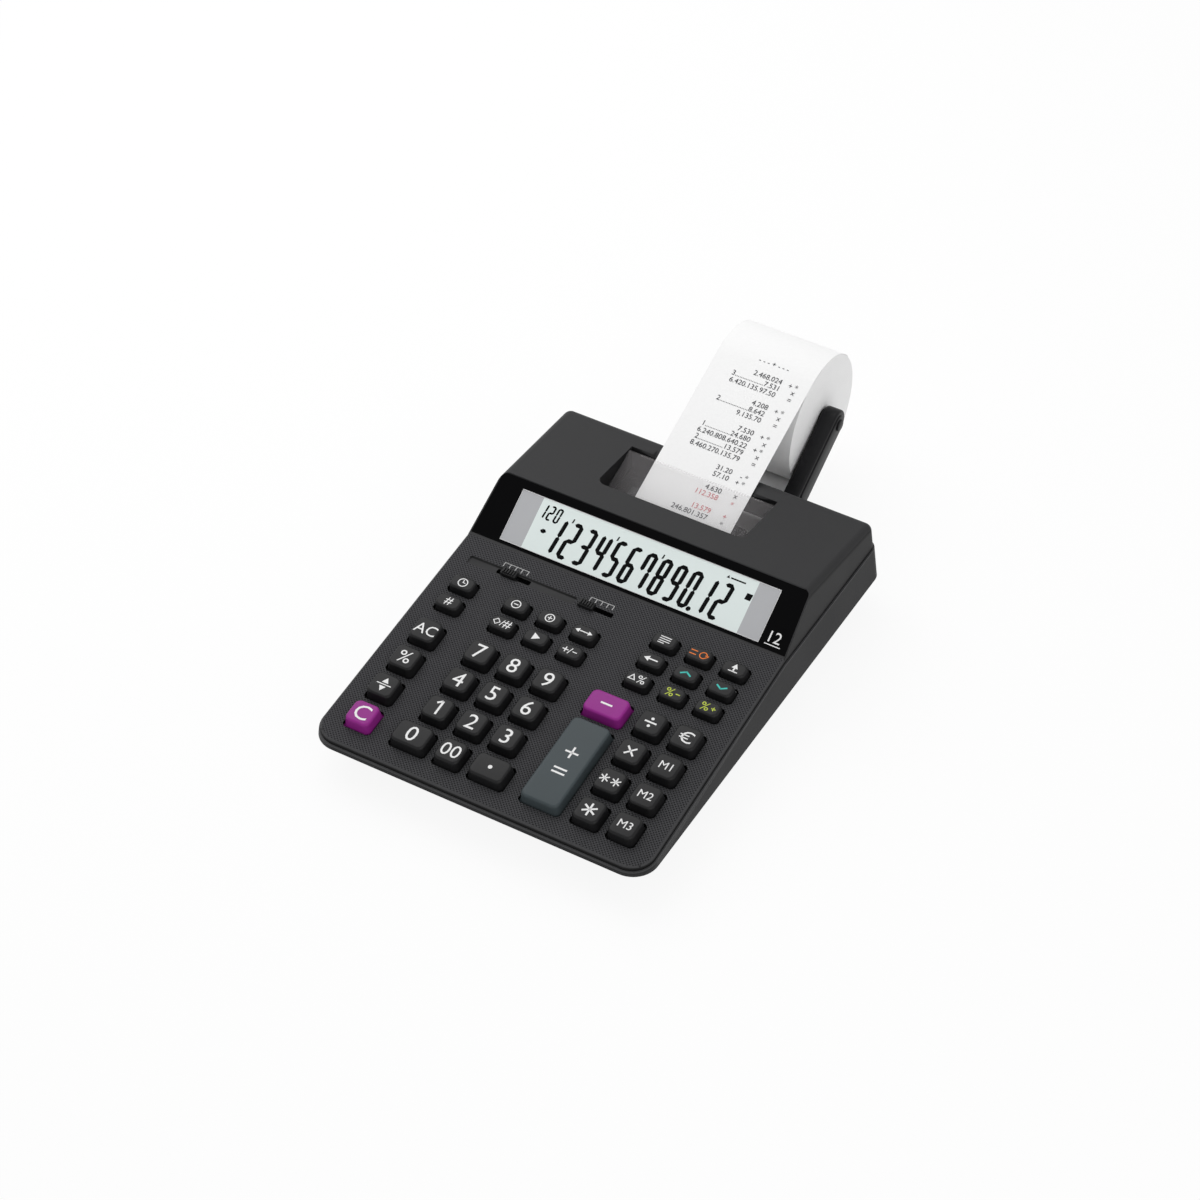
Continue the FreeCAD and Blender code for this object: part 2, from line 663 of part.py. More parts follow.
roll_axis = (v.roll_axis_depth, v.roll_axis_height)
tape_radius = v.roll_radius + v.paper_gap + v.paper_thickness / 2
wrap_radius = v.platen_radius + v.paper_gap + v.paper_thickness / 2
exit_point = (v.exit_depth, v.exit_height)
tape_slope = tangent_slope(exit_point, roll_axis, tape_radius)


def platen_height():
    """The axis lies one wrap radius under the tape's line."""
    line = v.exit_height + (v.platen_depth - v.exit_depth) * math.tan(tape_slope)
    return line - wrap_radius / math.cos(tape_slope)


platen_axis = (v.platen_depth, platen_height())
web_slope = 2 * math.atan2(roll_axis[1] - platen_axis[1], roll_axis[0] - platen_axis[0]) - tape_slope


def web_height(depth):
    """The line that runs under the platen and under the roll."""
    below = platen_axis[1] - wrap_radius / math.cos(web_slope)
    return below + (depth - platen_axis[0]) * math.tan(web_slope)


def on_circle(axis, radius, angle):
    return axis[0] + radius * math.cos(angle), axis[1] + radius * math.sin(angle)


def paper_edge(radial):
    """One face of the strip, as edges in side view; radial is its offset from the middle of the sheet."""
    roll_r = tape_radius + radial
    wrap_r = wrap_radius + radial
    web_start = on_circle(roll_axis, roll_r, web_slope - RIGHT_ANGLE)
    web_end = on_circle(platen_axis, wrap_r, web_slope - RIGHT_ANGLE)
    tape_start = on_circle(platen_axis, wrap_r, tape_slope + RIGHT_ANGLE)
    tape_end = on_circle(roll_axis, roll_r, tape_slope + RIGHT_ANGLE)
    wrap_middle = on_circle(platen_axis, wrap_r, math.pi + (web_slope + tape_slope) / 2)
    free_end = math.radians(v.tape_end_angle)
    top_middle = on_circle(roll_axis, roll_r, (tape_slope + RIGHT_ANGLE + free_end) / 2)
    free = on_circle(roll_axis, roll_r, free_end)
    place = [Vector(v.printer_x, front + p[0], p[1])
             for p in (web_start, web_end, wrap_middle, tape_start, tape_end, top_middle, free)]
    return [Part.LineSegment(place[0], place[1]).toShape(), Part.Arc(*place[1:4]).toShape(),
            Part.LineSegment(place[3], place[4]).toShape(), Part.Arc(*place[4:7]).toShape()]


def paper_strip():
    half = v.paper_thickness / 2
    inner, outer = paper_edge(-half), paper_edge(half)
    ends = [Part.LineSegment(inner[0].Vertexes[0].Point, outer[0].Vertexes[0].Point).toShape(),
            Part.LineSegment(inner[-1].Vertexes[-1].Point, outer[-1].Vertexes[-1].Point).toShape()]
    wire = Part.Wire(Part.__sortEdges__(inner + outer + ends))
    profile = doc.addObject("Part::Feature", "paper_profile")
    profile.Shape = Part.Face(wire)
    strip = doc.addObject("Part::Extrusion", "paper_strip")
    strip.Base = profile
    strip.DirMode = "Custom"
    strip.Dir = X_AXIS
    strip.Solid = True
    strip.Symmetric = True
    bind(strip, {"LengthFwd": "Sizes.paper_width"})
    return keep(strip, "paper_tape")


def paper_notch():
    """The lip behind the well is cut down where the tape rises over it."""
    left, right = printer_span(v.paper_width / 2 + v.paper_side_gap)
    lean = Rotation(X_AXIS, math.degrees(tape_slope))
    notch = doc.addObject("Part::Box", "paper_notch")
    start = Vector(left, front + v.exit_depth, v.exit_height)
    notch.Placement = Placement(start + lean.multVec(Vector(0, -v.wall, -v.notch_depth)), lean)
    notch.Length = right - left
    notch.Width = v.case_depth - v.exit_depth
    notch.Height = v.well_depth / 2
    return notch


def paper_slot():
    """The slot in the rear wall through which the paper comes in."""
    left, right = printer_span(v.paper_width / 2 + v.paper_side_gap)
    middle = web_height(v.case_depth - v.wall)
    half = v.slot_height / 2
    return block("paper_slot", (left, front + v.case_depth - v.wall - CLEAR, middle - half),
                 (right, front + v.case_depth + CLEAR, middle + half))


# Upper case: the shell, its openings and the bosses that carry the board

def boss_places():
    """Clear places between the keys' flanges."""
    beside_left = (v.column_left + number_column(0) + v.key_width - v.wide_key_width) / 2
    point_right = number_column(2) + v.wide_key_width - v.key_width / 2
    beside_plus = (point_right + v.column_plus - v.plus_key_width / 2) / 2
    beside_operators = operator_column(1) + v.key_pitch / 2
    front_line = row(0) + v.row_pitch / 2
    middle_line = (row(3) + v.key_depth / 2 + small_row(0) - v.small_key_depth / 2) / 2
    rear_line = (small_row(2) + v.small_key_depth / 2 + v.key_gap + v.flange_lip + v.board_rear) / 2
    return [(beside_left, front_line), (beside_left, middle_line), (beside_plus, front_line),
            (beside_plus, middle_line), (beside_operators, middle_line), (beside_operators, rear_line),
            (number_column(1), rear_line)]


BOSSES = boss_places()
sheet_top = (v.wall + v.key_play + v.flange_thickness + v.stem_length + v.dome_gap + v.dome_height)
board_top = sheet_top + v.sheet_thickness


def deck_posts(name, side, height, bottom):
    """Square posts upright on the deck, at the board's fixing points."""
    posts = []
    for number, (x, along) in enumerate(BOSSES):
        place = DECK.multiply(Placement(Vector(x, along, bottom), Rotation()))
        posts.append(square_post(f"{name}_{number}", side, height, place))
    return posts


def upper_case():
    shell, hull = upper_shell()
    bosses = deck_posts("boss", v.boss_width, board_top - v.wall / 2, -board_top)
    solid = fuse("upper_solid", [shell, well_walls(hull)] + bosses)
    cuts = [key_openings(), paper_notch()] + switch_cuts() + display_cuts() + well_cuts()
    return keep(cut("upper_case_solid", solid, fuse("upper_openings", cuts)), "upper_case")


# Lower case: belly, walls up to the seam, battery bay, posts and lugs

def loft(name, sections):
    solid = doc.addObject("Part::Loft", name)
    solid.Sections = sections
    solid.Solid = True
    solid.Ruled = True
    return solid


bay_depth = v.cell_count * (2 * v.cell_radius + v.cell_gap) + v.cell_gap
bay_width = v.cell_length + 2 * v.bay_end_gap
bay_floor = v.foot_height + v.lid_thickness
bay_roof = bay_floor + 2 * v.cell_radius + 2 * v.cell_gap
lid_hinge = (v.bay_front + v.lid_gap + v.lid_thickness / 2, v.foot_height + v.lid_thickness / 2)


def bay_box(name, margin, low, high):
    half = bay_width / 2 + margin
    return block(name, (-half, front + v.bay_front - margin, low),
                 (half, front + v.bay_front + bay_depth + margin, high))


frame_top = platen_axis[1] - v.frame_drop
cheek_half = v.platen_length / 2 + v.cheek_gap
cheek_reach = v.axle_radius + v.cheek_margin
frame_rear = platen_axis[0] + cheek_reach


def frame_posts():
    """Posts under the printer frame's corners."""
    posts = []
    inset = v.post_width / 2
    height = frame_top - v.frame_floor - v.foot_height - v.wall / 2
    for number, depth in enumerate((v.frame_front + inset, frame_rear - inset)):
        for side in (-1, 1):
            x = v.printer_x + side * (cheek_half - inset)
            place = Placement(Vector(x, front + depth, v.foot_height + v.wall / 2), Rotation())
            posts.append(square_post(f"frame_post_{number}_{side + 1}", v.post_width, height, place))
    return posts


arm_inner = v.paper_width / 2 + v.arm_gap
arm_outer = arm_inner + v.arm_thickness
arm_pivot = (v.arm_pivot_depth, v.arm_pivot_height)


def lug(name, x):
    """A lug with a round end about the arms' pivot, rooted in the rear wall."""
    sketch = loose_sketch(f"{name}_outline", Placement(Vector(x, front, 0), SIDE_VIEW))
    depth, height = arm_pivot
    r = v.lug_radius
    root = v.case_depth - v.lug_root
    ends = [Vector(root, height - r, 0), Vector(depth, height - r, 0),
            Vector(depth, height + r, 0), Vector(root, height + r, 0)]
    sketch.addGeometry(Part.LineSegment(ends[0], ends[1]), False)
    round_end = Part.Circle(Vector(depth, height, 0), Z_AXIS, r)
    sketch.addGeometry(Part.ArcOfCircle(round_end, -RIGHT_ANGLE, RIGHT_ANGLE), False)
    sketch.addGeometry(Part.LineSegment(ends[2], ends[3]), False)
    sketch.addGeometry(Part.LineSegment(ends[3], ends[0]), False)
    return extrude(name, sketch, "Sizes.lug_thickness")


def lugs():
    """Two lugs for each arm, one on either side of it."""
    starts = []
    for side in (-1, 1):
        faces = (arm_inner - v.lug_gap - v.lug_thickness, arm_outer + v.lug_gap)
        for face in faces:
            starts.append(v.printer_x + (face if side > 0 else -face - v.lug_thickness))
    return [lug(f"arm_lug_{number}", x) for number, x in enumerate(starts)]


def pivot_holes():
    length = 2 * (arm_outer + v.lug_gap + v.lug_thickness + CLEAR)
    place = Placement(Vector(v.printer_x - length / 2, front + arm_pivot[0], arm_pivot[1]), ROUND_X)
    return cylinder("pivot_holes", "Sizes.pivot_radius + Sizes.pin_clearance", str(length), place)


def lid_pin_holes():
    reach = bay_width / 2 + v.lid_pin_reach + v.lid_gap
    place = Placement(Vector(-reach, front + lid_hinge[0], lid_hinge[1]), ROUND_X)
    return cylinder("lid_pin_holes", "Sizes.lid_pin_radius + Sizes.pin_clearance", str(2 * reach), place)


def adapter_inlet():
    place = Placement(Vector(-v.case_width / 2 - v.wall, front + v.jack_depth, v.jack_height), ROUND_X)
    return cylinder("adapter_inlet", "Sizes.jack_radius", "Sizes.wall * 4", place)


def lower_case():
    side = slab("lower_side", [(-BEYOND, belly_top), (v.case_depth, belly_top),
                               (v.case_depth, v.seam_rear_height)] + seam_line())
    rim = common("lower_rim", [tapered("lower_plan", 0.0), side])
    belly = loft("lower_belly", [base_outline("base_outline", v.foot_height, 0.0),
                                 plan_outline("widest_outline", belly_top, 0.0)])
    hull = fuse("lower_hull", [belly, rim])
    hollow_rim = tapered("lower_inside", v.wall)
    hollow_belly = loft("lower_inside_belly", [base_outline("inside_base", v.foot_height + v.wall, v.wall),
                                               plan_outline("inside_widest", belly_top, v.wall)])
    shell = cut("lower_shell", hull, fuse("lower_hollow", [hollow_rim, hollow_belly]))
    bay = bay_box("bay_block", v.bay_wall, v.foot_height, bay_roof + v.bay_wall)
    solid = fuse("lower_solid", [shell, bay] + frame_posts() + lugs())
    cuts = fuse("lower_cuts", [bay_box("bay_hollow", 0.0, v.foot_height - v.wall, bay_roof),
                               paper_slot(), pivot_holes(), lid_pin_holes(), adapter_inlet()])
    return keep(cut("lower_case_solid", solid, cuts), "lower_case")


# Display

def display_panel():
    plate = panel_plate("panel", "0", "Sizes.panel_thickness", 0.0)
    outline = window_outline("panel_window_outline", raised(SLOPE, -BEYOND / 4), 0.0)
    return keep(cut("panel_solid", plate, extrude("panel_window", outline, str(BEYOND / 2))), "display_panel")


def lcd_module():
    outline = window_outline("glass_outline", raised(SLOPE, -v.wall), -v.glass_gap)
    glass = extrude("display_glass", outline, "Sizes.wall - Sizes.glass_depth")
    back = loose_sketch("display_back_outline", raised(SLOPE, -v.wall - v.module_thickness))
    half_height = (window_high - v.window_low) / 2 + v.module_edge
    rectangle(back, v.window_width / 2 + v.module_margin, half_height, (0, window_middle))
    plate = extrude("display_back", back, "Sizes.module_thickness")
    return keep(fuse("display_solid", [glass, plate]), "lcd_module")


# Rubber dome sheet and circuit board, square to the deck

def deck_plate(name, top, thickness):
    sketch = loose_sketch(f"{name}_outline", raised(DECK, -top))
    middle = (0, (v.board_front + v.board_rear) / 2)
    rounded(sketch, middle, v.board_width, v.board_rear - v.board_front, v.board_corner)
    return extrude(name, sketch, "0", thickness)


def dome_places():
    """One dome under each key, and two under the tall one."""
    for node, x, along, width, depth, height in KEYS:
        spread = v.row_pitch if depth == "plus_key_depth" else 0.0
        for offset in sorted({-spread, spread}):
            yield x, along + offset


def dome_sheet():
    domes = loose_sketch("dome_outlines", raised(DECK, -sheet_top))
    half = v.dome_width / 2
    for x, along in dome_places():
        rectangle(domes, half, half, (x, along))
    raised_domes = extrude("domes", domes, "Sizes.dome_height")
    plate = deck_plate("sheet_plate", sheet_top, "Sizes.sheet_thickness")
    hole = v.boss_width + 2 * v.boss_clearance
    holes = fuse("sheet_holes", deck_posts("sheet_hole", hole, BEYOND / 2, -sheet_top - BEYOND / 4))
    return keep(cut("sheet_solid", fuse("sheet_and_domes", [plate, raised_domes]), holes), "dome_sheet")


def main_board():
    return keep(deck_plate("board_plate", board_top, "Sizes.board_thickness"), "main_board")


# Slide knobs: a top, a stem through the slot and a foot plate under the deck

def slide_knob(node, x):
    base = DECK.multiply(Placement(Vector(x, v.switch_line, 0), Rotation()))
    low = v.knob_gap - (v.switch_groove_depth if x < v.switch_groove_right else 0.0)
    top = loose_sketch(f"{node}_top_outline", raised(base, low))
    cut_cornered(top, (0, 0), v.knob_width, v.knob_depth, v.knob_corner)
    cap = extrude(f"{node}_top", top, f"Sizes.knob_height - {low}")
    foot_top = v.wall + v.knob_gap
    stem = loose_sketch(f"{node}_stem_outline", raised(base, -foot_top))
    rectangle(stem, v.knob_width / 4, v.knob_stem / 2)
    post = extrude(f"{node}_stem", stem, str(foot_top + low))
    foot = loose_sketch(f"{node}_foot_outline", raised(base, -foot_top))
    cut_cornered(foot, (0, 0), v.knob_width, v.knob_depth, v.knob_corner)
    plate = extrude(f"{node}_foot", foot, "0", "Sizes.knob_foot")
    return keep(fuse(f"{node}_solid", [cap, post, plate]), node)


# Printer: smoked cover, frame and platen

def printer_cover():
    run = (tear_edge[0] - cover_hinge[0], tear_edge[1] - cover_hinge[1])
    angle = math.degrees(math.atan2(run[1], run[0]))
    half = v.well_width / 2 - v.cover_gap
    place = Placement(Vector(v.printer_x, front + cover_hinge[0], cover_hinge[1]), Rotation(X_AXIS, angle))
    sketch = loose_sketch("cover_outline", place)
    length = math.hypot(*run)
    rectangle(sketch, half, length / 2, (0, length / 2))
    plate = extrude("cover_plate", sketch, "Sizes.cover_thickness / 2", "Sizes.cover_thickness / 2")
    reach = half + v.cover_gap + v.cover_pin_reach
    at_hinge = Placement(Vector(-reach, 0, 0), Rotation(Y_AXIS, 90))
    pin = cylinder("cover_pin", "Sizes.cover_pin_radius", str(2 * reach), place.multiply(at_hinge))
    return keep(fuse("cover_solid", [plate, pin]), "printer_cover")


def printer_frame():
    half = cheek_half + v.cheek_thickness
    left, right = printer_span(half)
    floor = block("frame_floor", (left, front + v.frame_front, frame_top - v.frame_floor),
                  (right, front + frame_rear, frame_top))
    cheeks = []
    for number, x in enumerate((left, right - v.cheek_thickness)):
        cheeks.append(block(f"frame_cheek_{number}",
                            (x, front + platen_axis[0] - cheek_reach, frame_top - v.frame_floor),
                            (x + v.cheek_thickness, front + frame_rear, platen_axis[1] + cheek_reach)))
    head_rear = platen_axis[0] - wrap_radius - v.head_gap
    head = block("print_head", (left, front + v.frame_front, frame_top - v.frame_floor),
                 (right, front + head_rear, frame_top - v.frame_floor + v.head_height))
    start = Vector(left - CLEAR, front + platen_axis[0], platen_axis[1])
    bearing = cylinder("axle_holes", "Sizes.axle_radius + Sizes.pin_clearance", str(2 * (half + CLEAR)),
                       Placement(start, ROUND_X))
    return keep(cut("frame_solid", fuse("frame_body", [floor, head] + cheeks), bearing), "printer_frame")


def platen_roller():
    axle_half = cheek_half + v.cheek_thickness
    at = (front + platen_axis[0], platen_axis[1])
    roller = cylinder("platen_sleeve", "Sizes.platen_radius", "Sizes.platen_length",
                      Placement(Vector(v.printer_x - v.platen_length / 2, *at), ROUND_X))
    axle = cylinder("platen_axle", "Sizes.axle_radius", str(2 * axle_half),
                    Placement(Vector(v.printer_x - axle_half, *at), ROUND_X))
    return keep(fuse("platen_solid", [roller, axle]), "platen_roller")


# Paper roll and the arms that carry it

def paper_roll():
    at = (front + v.roll_axis_depth, v.roll_axis_height)
    place = Placement(Vector(v.printer_x - v.paper_width / 2, *at), ROUND_X)
    roll = cylinder("roll_outside", "Sizes.roll_radius", "Sizes.paper_width", place)
    bore = cylinder("roll_bore", "Sizes.core_radius + Sizes.pin_clearance", "Sizes.paper_width", place)
    return keep(cut("roll_solid", roll, bore), "paper_roll")


def arm_outline(name, x):
    """Two round ends about the pivot and the roll's axis, joined by their outer tangents."""
    sketch = loose_sketch(name, Placement(Vector(x, front, 0), SIDE_VIEW))
    run = (roll_axis[0] - arm_pivot[0], roll_axis[1] - arm_pivot[1])
    along = math.atan2(run[1], run[0])
    spread = math.acos((v.arm_foot_radius - v.arm_head_radius) / math.hypot(*run))
    foot = [on_circle(arm_pivot, v.arm_foot_radius, along + side * spread) for side in (1, -1)]
    head = [on_circle(roll_axis, v.arm_head_radius, along + side * spread) for side in (1, -1)]
    for start, end in ((foot[1], head[1]), (head[0], foot[0])):
        sketch.addGeometry(Part.LineSegment(Vector(*start, 0), Vector(*end, 0)), False)
    for centre, radius, first, last in ((roll_axis, v.arm_head_radius, along - spread, along + spread),
                                        (arm_pivot, v.arm_foot_radius, along + spread,
                                         along - spread + 2 * math.pi)):
        circle = Part.Circle(Vector(*centre, 0), Z_AXIS, radius)
        sketch.addGeometry(Part.ArcOfCircle(circle, first, last), False)
    return sketch


def roll_arm(name, side):
    """A bar with a pin into the roll's core, a nub on its outside and stubs in the lugs."""
    inner = v.printer_x + (arm_inner if side > 0 else -arm_outer)
    bar = extrude(f"{name}_bar", arm_outline(f"{name}_outline", inner), "Sizes.arm_thickness")
    at_roll = (front + roll_axis[0], roll_axis[1])
    low, high = sorted((side * (arm_inner - v.arm_gap - v.arm_pin_length), side * (arm_inner + v.wall)))
    pin = cylinder(f"{name}_pin", "Sizes.core_radius", str(high - low),
                   Placement(Vector(v.printer_x + low, *at_roll), ROUND_X))
    low, high = sorted((side * (arm_outer - v.wall), side * (arm_outer + v.nub_height)))
    nub = cylinder(f"{name}_nub", "Sizes.nub_radius", str(high - low),
                   Placement(Vector(v.printer_x + low, *at_roll), ROUND_X))
    reach = v.lug_gap + v.lug_thickness
    stub = cylinder(f"{name}_stub", "Sizes.pivot_radius", f"Sizes.arm_thickness + {2 * reach}",
                    Placement(Vector(inner - reach, front + arm_pivot[0], arm_pivot[1]), ROUND_X))
    return fuse(f"{name}_solid", [bar, pin, nub, stub])


def roll_arms():
    pair = doc.addObject("Part::Compound", "roll_arm_pair")
    pair.Links = [roll_arm("arm_right", 1), roll_arm("arm_left", -1)]
    return keep(pair, "roll_arms")


# Battery bay, feet

def battery_cells():
    cells = []
    step = 2 * v.cell_radius + v.cell_gap
    for number in range(int(v.cell_count)):
        depth = v.bay_front + v.cell_gap + v.cell_radius + number * step
        height = bay_floor + v.cell_gap + v.cell_radius
        cells.append(cylinder(f"cell_{number}", "Sizes.cell_radius", "Sizes.cell_length",
                              Placement(Vector(-v.cell_length / 2, front + depth, height), ROUND_X)))
    group = doc.addObject("Part::Compound", "cell_group")
    group.Links = cells
    return keep(group, "batteries")


def battery_cover():
    """A plate with a round front edge and two pins, about which it swings down."""
    half = bay_width / 2 - v.lid_gap
    depth, height = lid_hinge
    plate = block("lid_plate", (-half, front + depth, v.foot_height),
                  (half, front + v.bay_front + bay_depth - v.lid_gap, bay_floor))
    edge = cylinder("lid_edge", "Sizes.lid_thickness / 2", str(2 * half),
                    Placement(Vector(-half, front + depth, height), ROUND_X))
    reach = half + v.lid_gap + v.lid_pin_reach
    pins = cylinder("lid_pins", "Sizes.lid_pin_radius", str(2 * reach),
                    Placement(Vector(-reach, front + depth, height), ROUND_X))
    return keep(fuse("lid_solid", [plate, edge, pins]), "battery_cover")


def rubber_feet():
    feet = []
    half = base_width / 2 - v.foot_inset
    depths = (v.belly_inset_front + v.foot_inset, v.belly_inset_front + base_depth - v.foot_inset)
    for number, depth in enumerate(depths):
        for side in (-1, 1):
            feet.append(cylinder(f"foot_{number}_{side + 1}", "Sizes.foot_radius", "Sizes.foot_height",
                                 Placement(Vector(side * half, front + depth, 0), Rotation())))
    group = doc.addObject("Part::Compound", "foot_group")
    group.Links = feet
    return keep(group, "rubber_feet")


# Build, check and write

def check_document():
    """Every object has to have recomputed cleanly, and every sub-part has to be sound."""
    failed = [o.Name for o in doc.Objects if "Invalid" in o.State or "Error" in o.State]
    if failed:
        raise RuntimeError(f"failed to recompute: {failed}")
    for node, solid in parts:
        shape = solid.Shape
        if shape.isNull() or not shape.isValid() or not shape.Solids:
            raise RuntimeError(f"{node} has no sound shape")


def write_parts():
    os.makedirs("parts", exist_ok=True)
    for node, solid in parts:
        solid.Shape.exportStep(os.path.join("parts", f"{node}.step"))


upper_case()
lower_case()
display_panel()
lcd_module()
dome_sheet()
main_board()
slide_knob("switch_knob_left", v.switch_left)
slide_knob("switch_knob_right", v.switch_right)
printer_cover()
printer_frame()
platen_roller()
paper_strip()
paper_roll()
roll_arms()
battery_cells()
battery_cover()
rubber_feet()
for key in KEYS:
    key_cap(*key)
doc.recompute()
check_document()
write_parts()
print(f"{len(parts)} sub-parts written, platen axis {platen_axis[0]:.2f}, {platen_axis[1]:.2f}")
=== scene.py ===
"""Desk calculator with a roll printer: finishes, keys, display, paper and stage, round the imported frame."""
import math

import bmesh
import bpy
from bpy.props import FloatProperty, FloatVectorProperty, IntProperty, PointerProperty
from mathutils import Matrix, Vector


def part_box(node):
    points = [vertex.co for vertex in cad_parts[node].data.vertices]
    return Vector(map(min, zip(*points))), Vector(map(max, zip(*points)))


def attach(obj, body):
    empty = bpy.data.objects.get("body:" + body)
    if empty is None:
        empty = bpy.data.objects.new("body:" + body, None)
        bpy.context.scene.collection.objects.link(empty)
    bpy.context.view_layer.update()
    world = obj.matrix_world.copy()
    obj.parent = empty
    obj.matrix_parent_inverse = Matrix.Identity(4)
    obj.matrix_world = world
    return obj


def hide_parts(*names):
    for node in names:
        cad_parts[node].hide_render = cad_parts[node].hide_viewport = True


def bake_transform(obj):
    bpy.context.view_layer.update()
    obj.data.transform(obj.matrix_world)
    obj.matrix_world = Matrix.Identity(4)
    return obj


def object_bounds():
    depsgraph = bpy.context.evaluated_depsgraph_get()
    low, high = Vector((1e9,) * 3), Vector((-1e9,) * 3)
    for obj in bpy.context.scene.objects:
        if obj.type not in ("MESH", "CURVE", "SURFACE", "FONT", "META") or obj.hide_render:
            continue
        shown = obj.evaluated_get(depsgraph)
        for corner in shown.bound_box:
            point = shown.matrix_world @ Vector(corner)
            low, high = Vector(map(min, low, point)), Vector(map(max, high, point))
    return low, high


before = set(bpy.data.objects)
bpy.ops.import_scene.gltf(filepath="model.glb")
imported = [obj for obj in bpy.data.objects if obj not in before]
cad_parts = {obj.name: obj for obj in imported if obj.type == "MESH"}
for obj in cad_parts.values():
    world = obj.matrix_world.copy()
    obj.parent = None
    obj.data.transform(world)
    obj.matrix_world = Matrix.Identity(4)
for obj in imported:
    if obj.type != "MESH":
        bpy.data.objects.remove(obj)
CAD_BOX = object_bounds()

bl_info = {
    "name": "Desk calculator",
    "version": (1, 0, 0),
    "blender": (4, 5, 0),
    "location": "View3D > Sidebar > Calculator",
    "description": "Dresses the packed frame of a printing desk calculator",
    "category": "Object",
}

MM = 0.001
MERGE = 0.002 * MM
HERE = Matrix.Identity(4)
ACROSS = Matrix.Rotation(math.pi / 2, 4, "Y")
FRONT = CAD_BOX[0].y
ROLL_LOW, ROLL_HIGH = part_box("paper_roll")
ROLL_AXIS = (ROLL_LOW + ROLL_HIGH) / 2
PLATEN_LOW, PLATEN_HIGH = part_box("platen_roller")
PLATEN_AXIS = (PLATEN_LOW + PLATEN_HIGH) / 2
PAPER_WIDTH = ROLL_HIGH.x - ROLL_LOW.x


def tint(red, green, blue):
    """A colour as a screen shows it, 0 to 255, as the linear values that shaders take."""
    linear = []
    for part in (red, green, blue):
        share = part / 255
        linear.append(share / 12.92 if share <= 0.04045 else ((share + 0.055) / 1.055) ** 2.4)
    return tuple(linear)


def size(name, description, millimetres):
    return FloatProperty(name=name, description=description, default=millimetres * MM, unit="LENGTH",
                         precision=5)


def degrees(name, description, default):
    return FloatProperty(name=name, description=description, default=math.radians(default), subtype="ANGLE")


def count(name, description, default):
    return IntProperty(name=name, description=description, default=default, min=1)


def colour(name, description, default):
    return FloatVectorProperty(name=name, description=description, default=tint(*default), size=3,
                               subtype="COLOR", min=0.0, max=1.0)


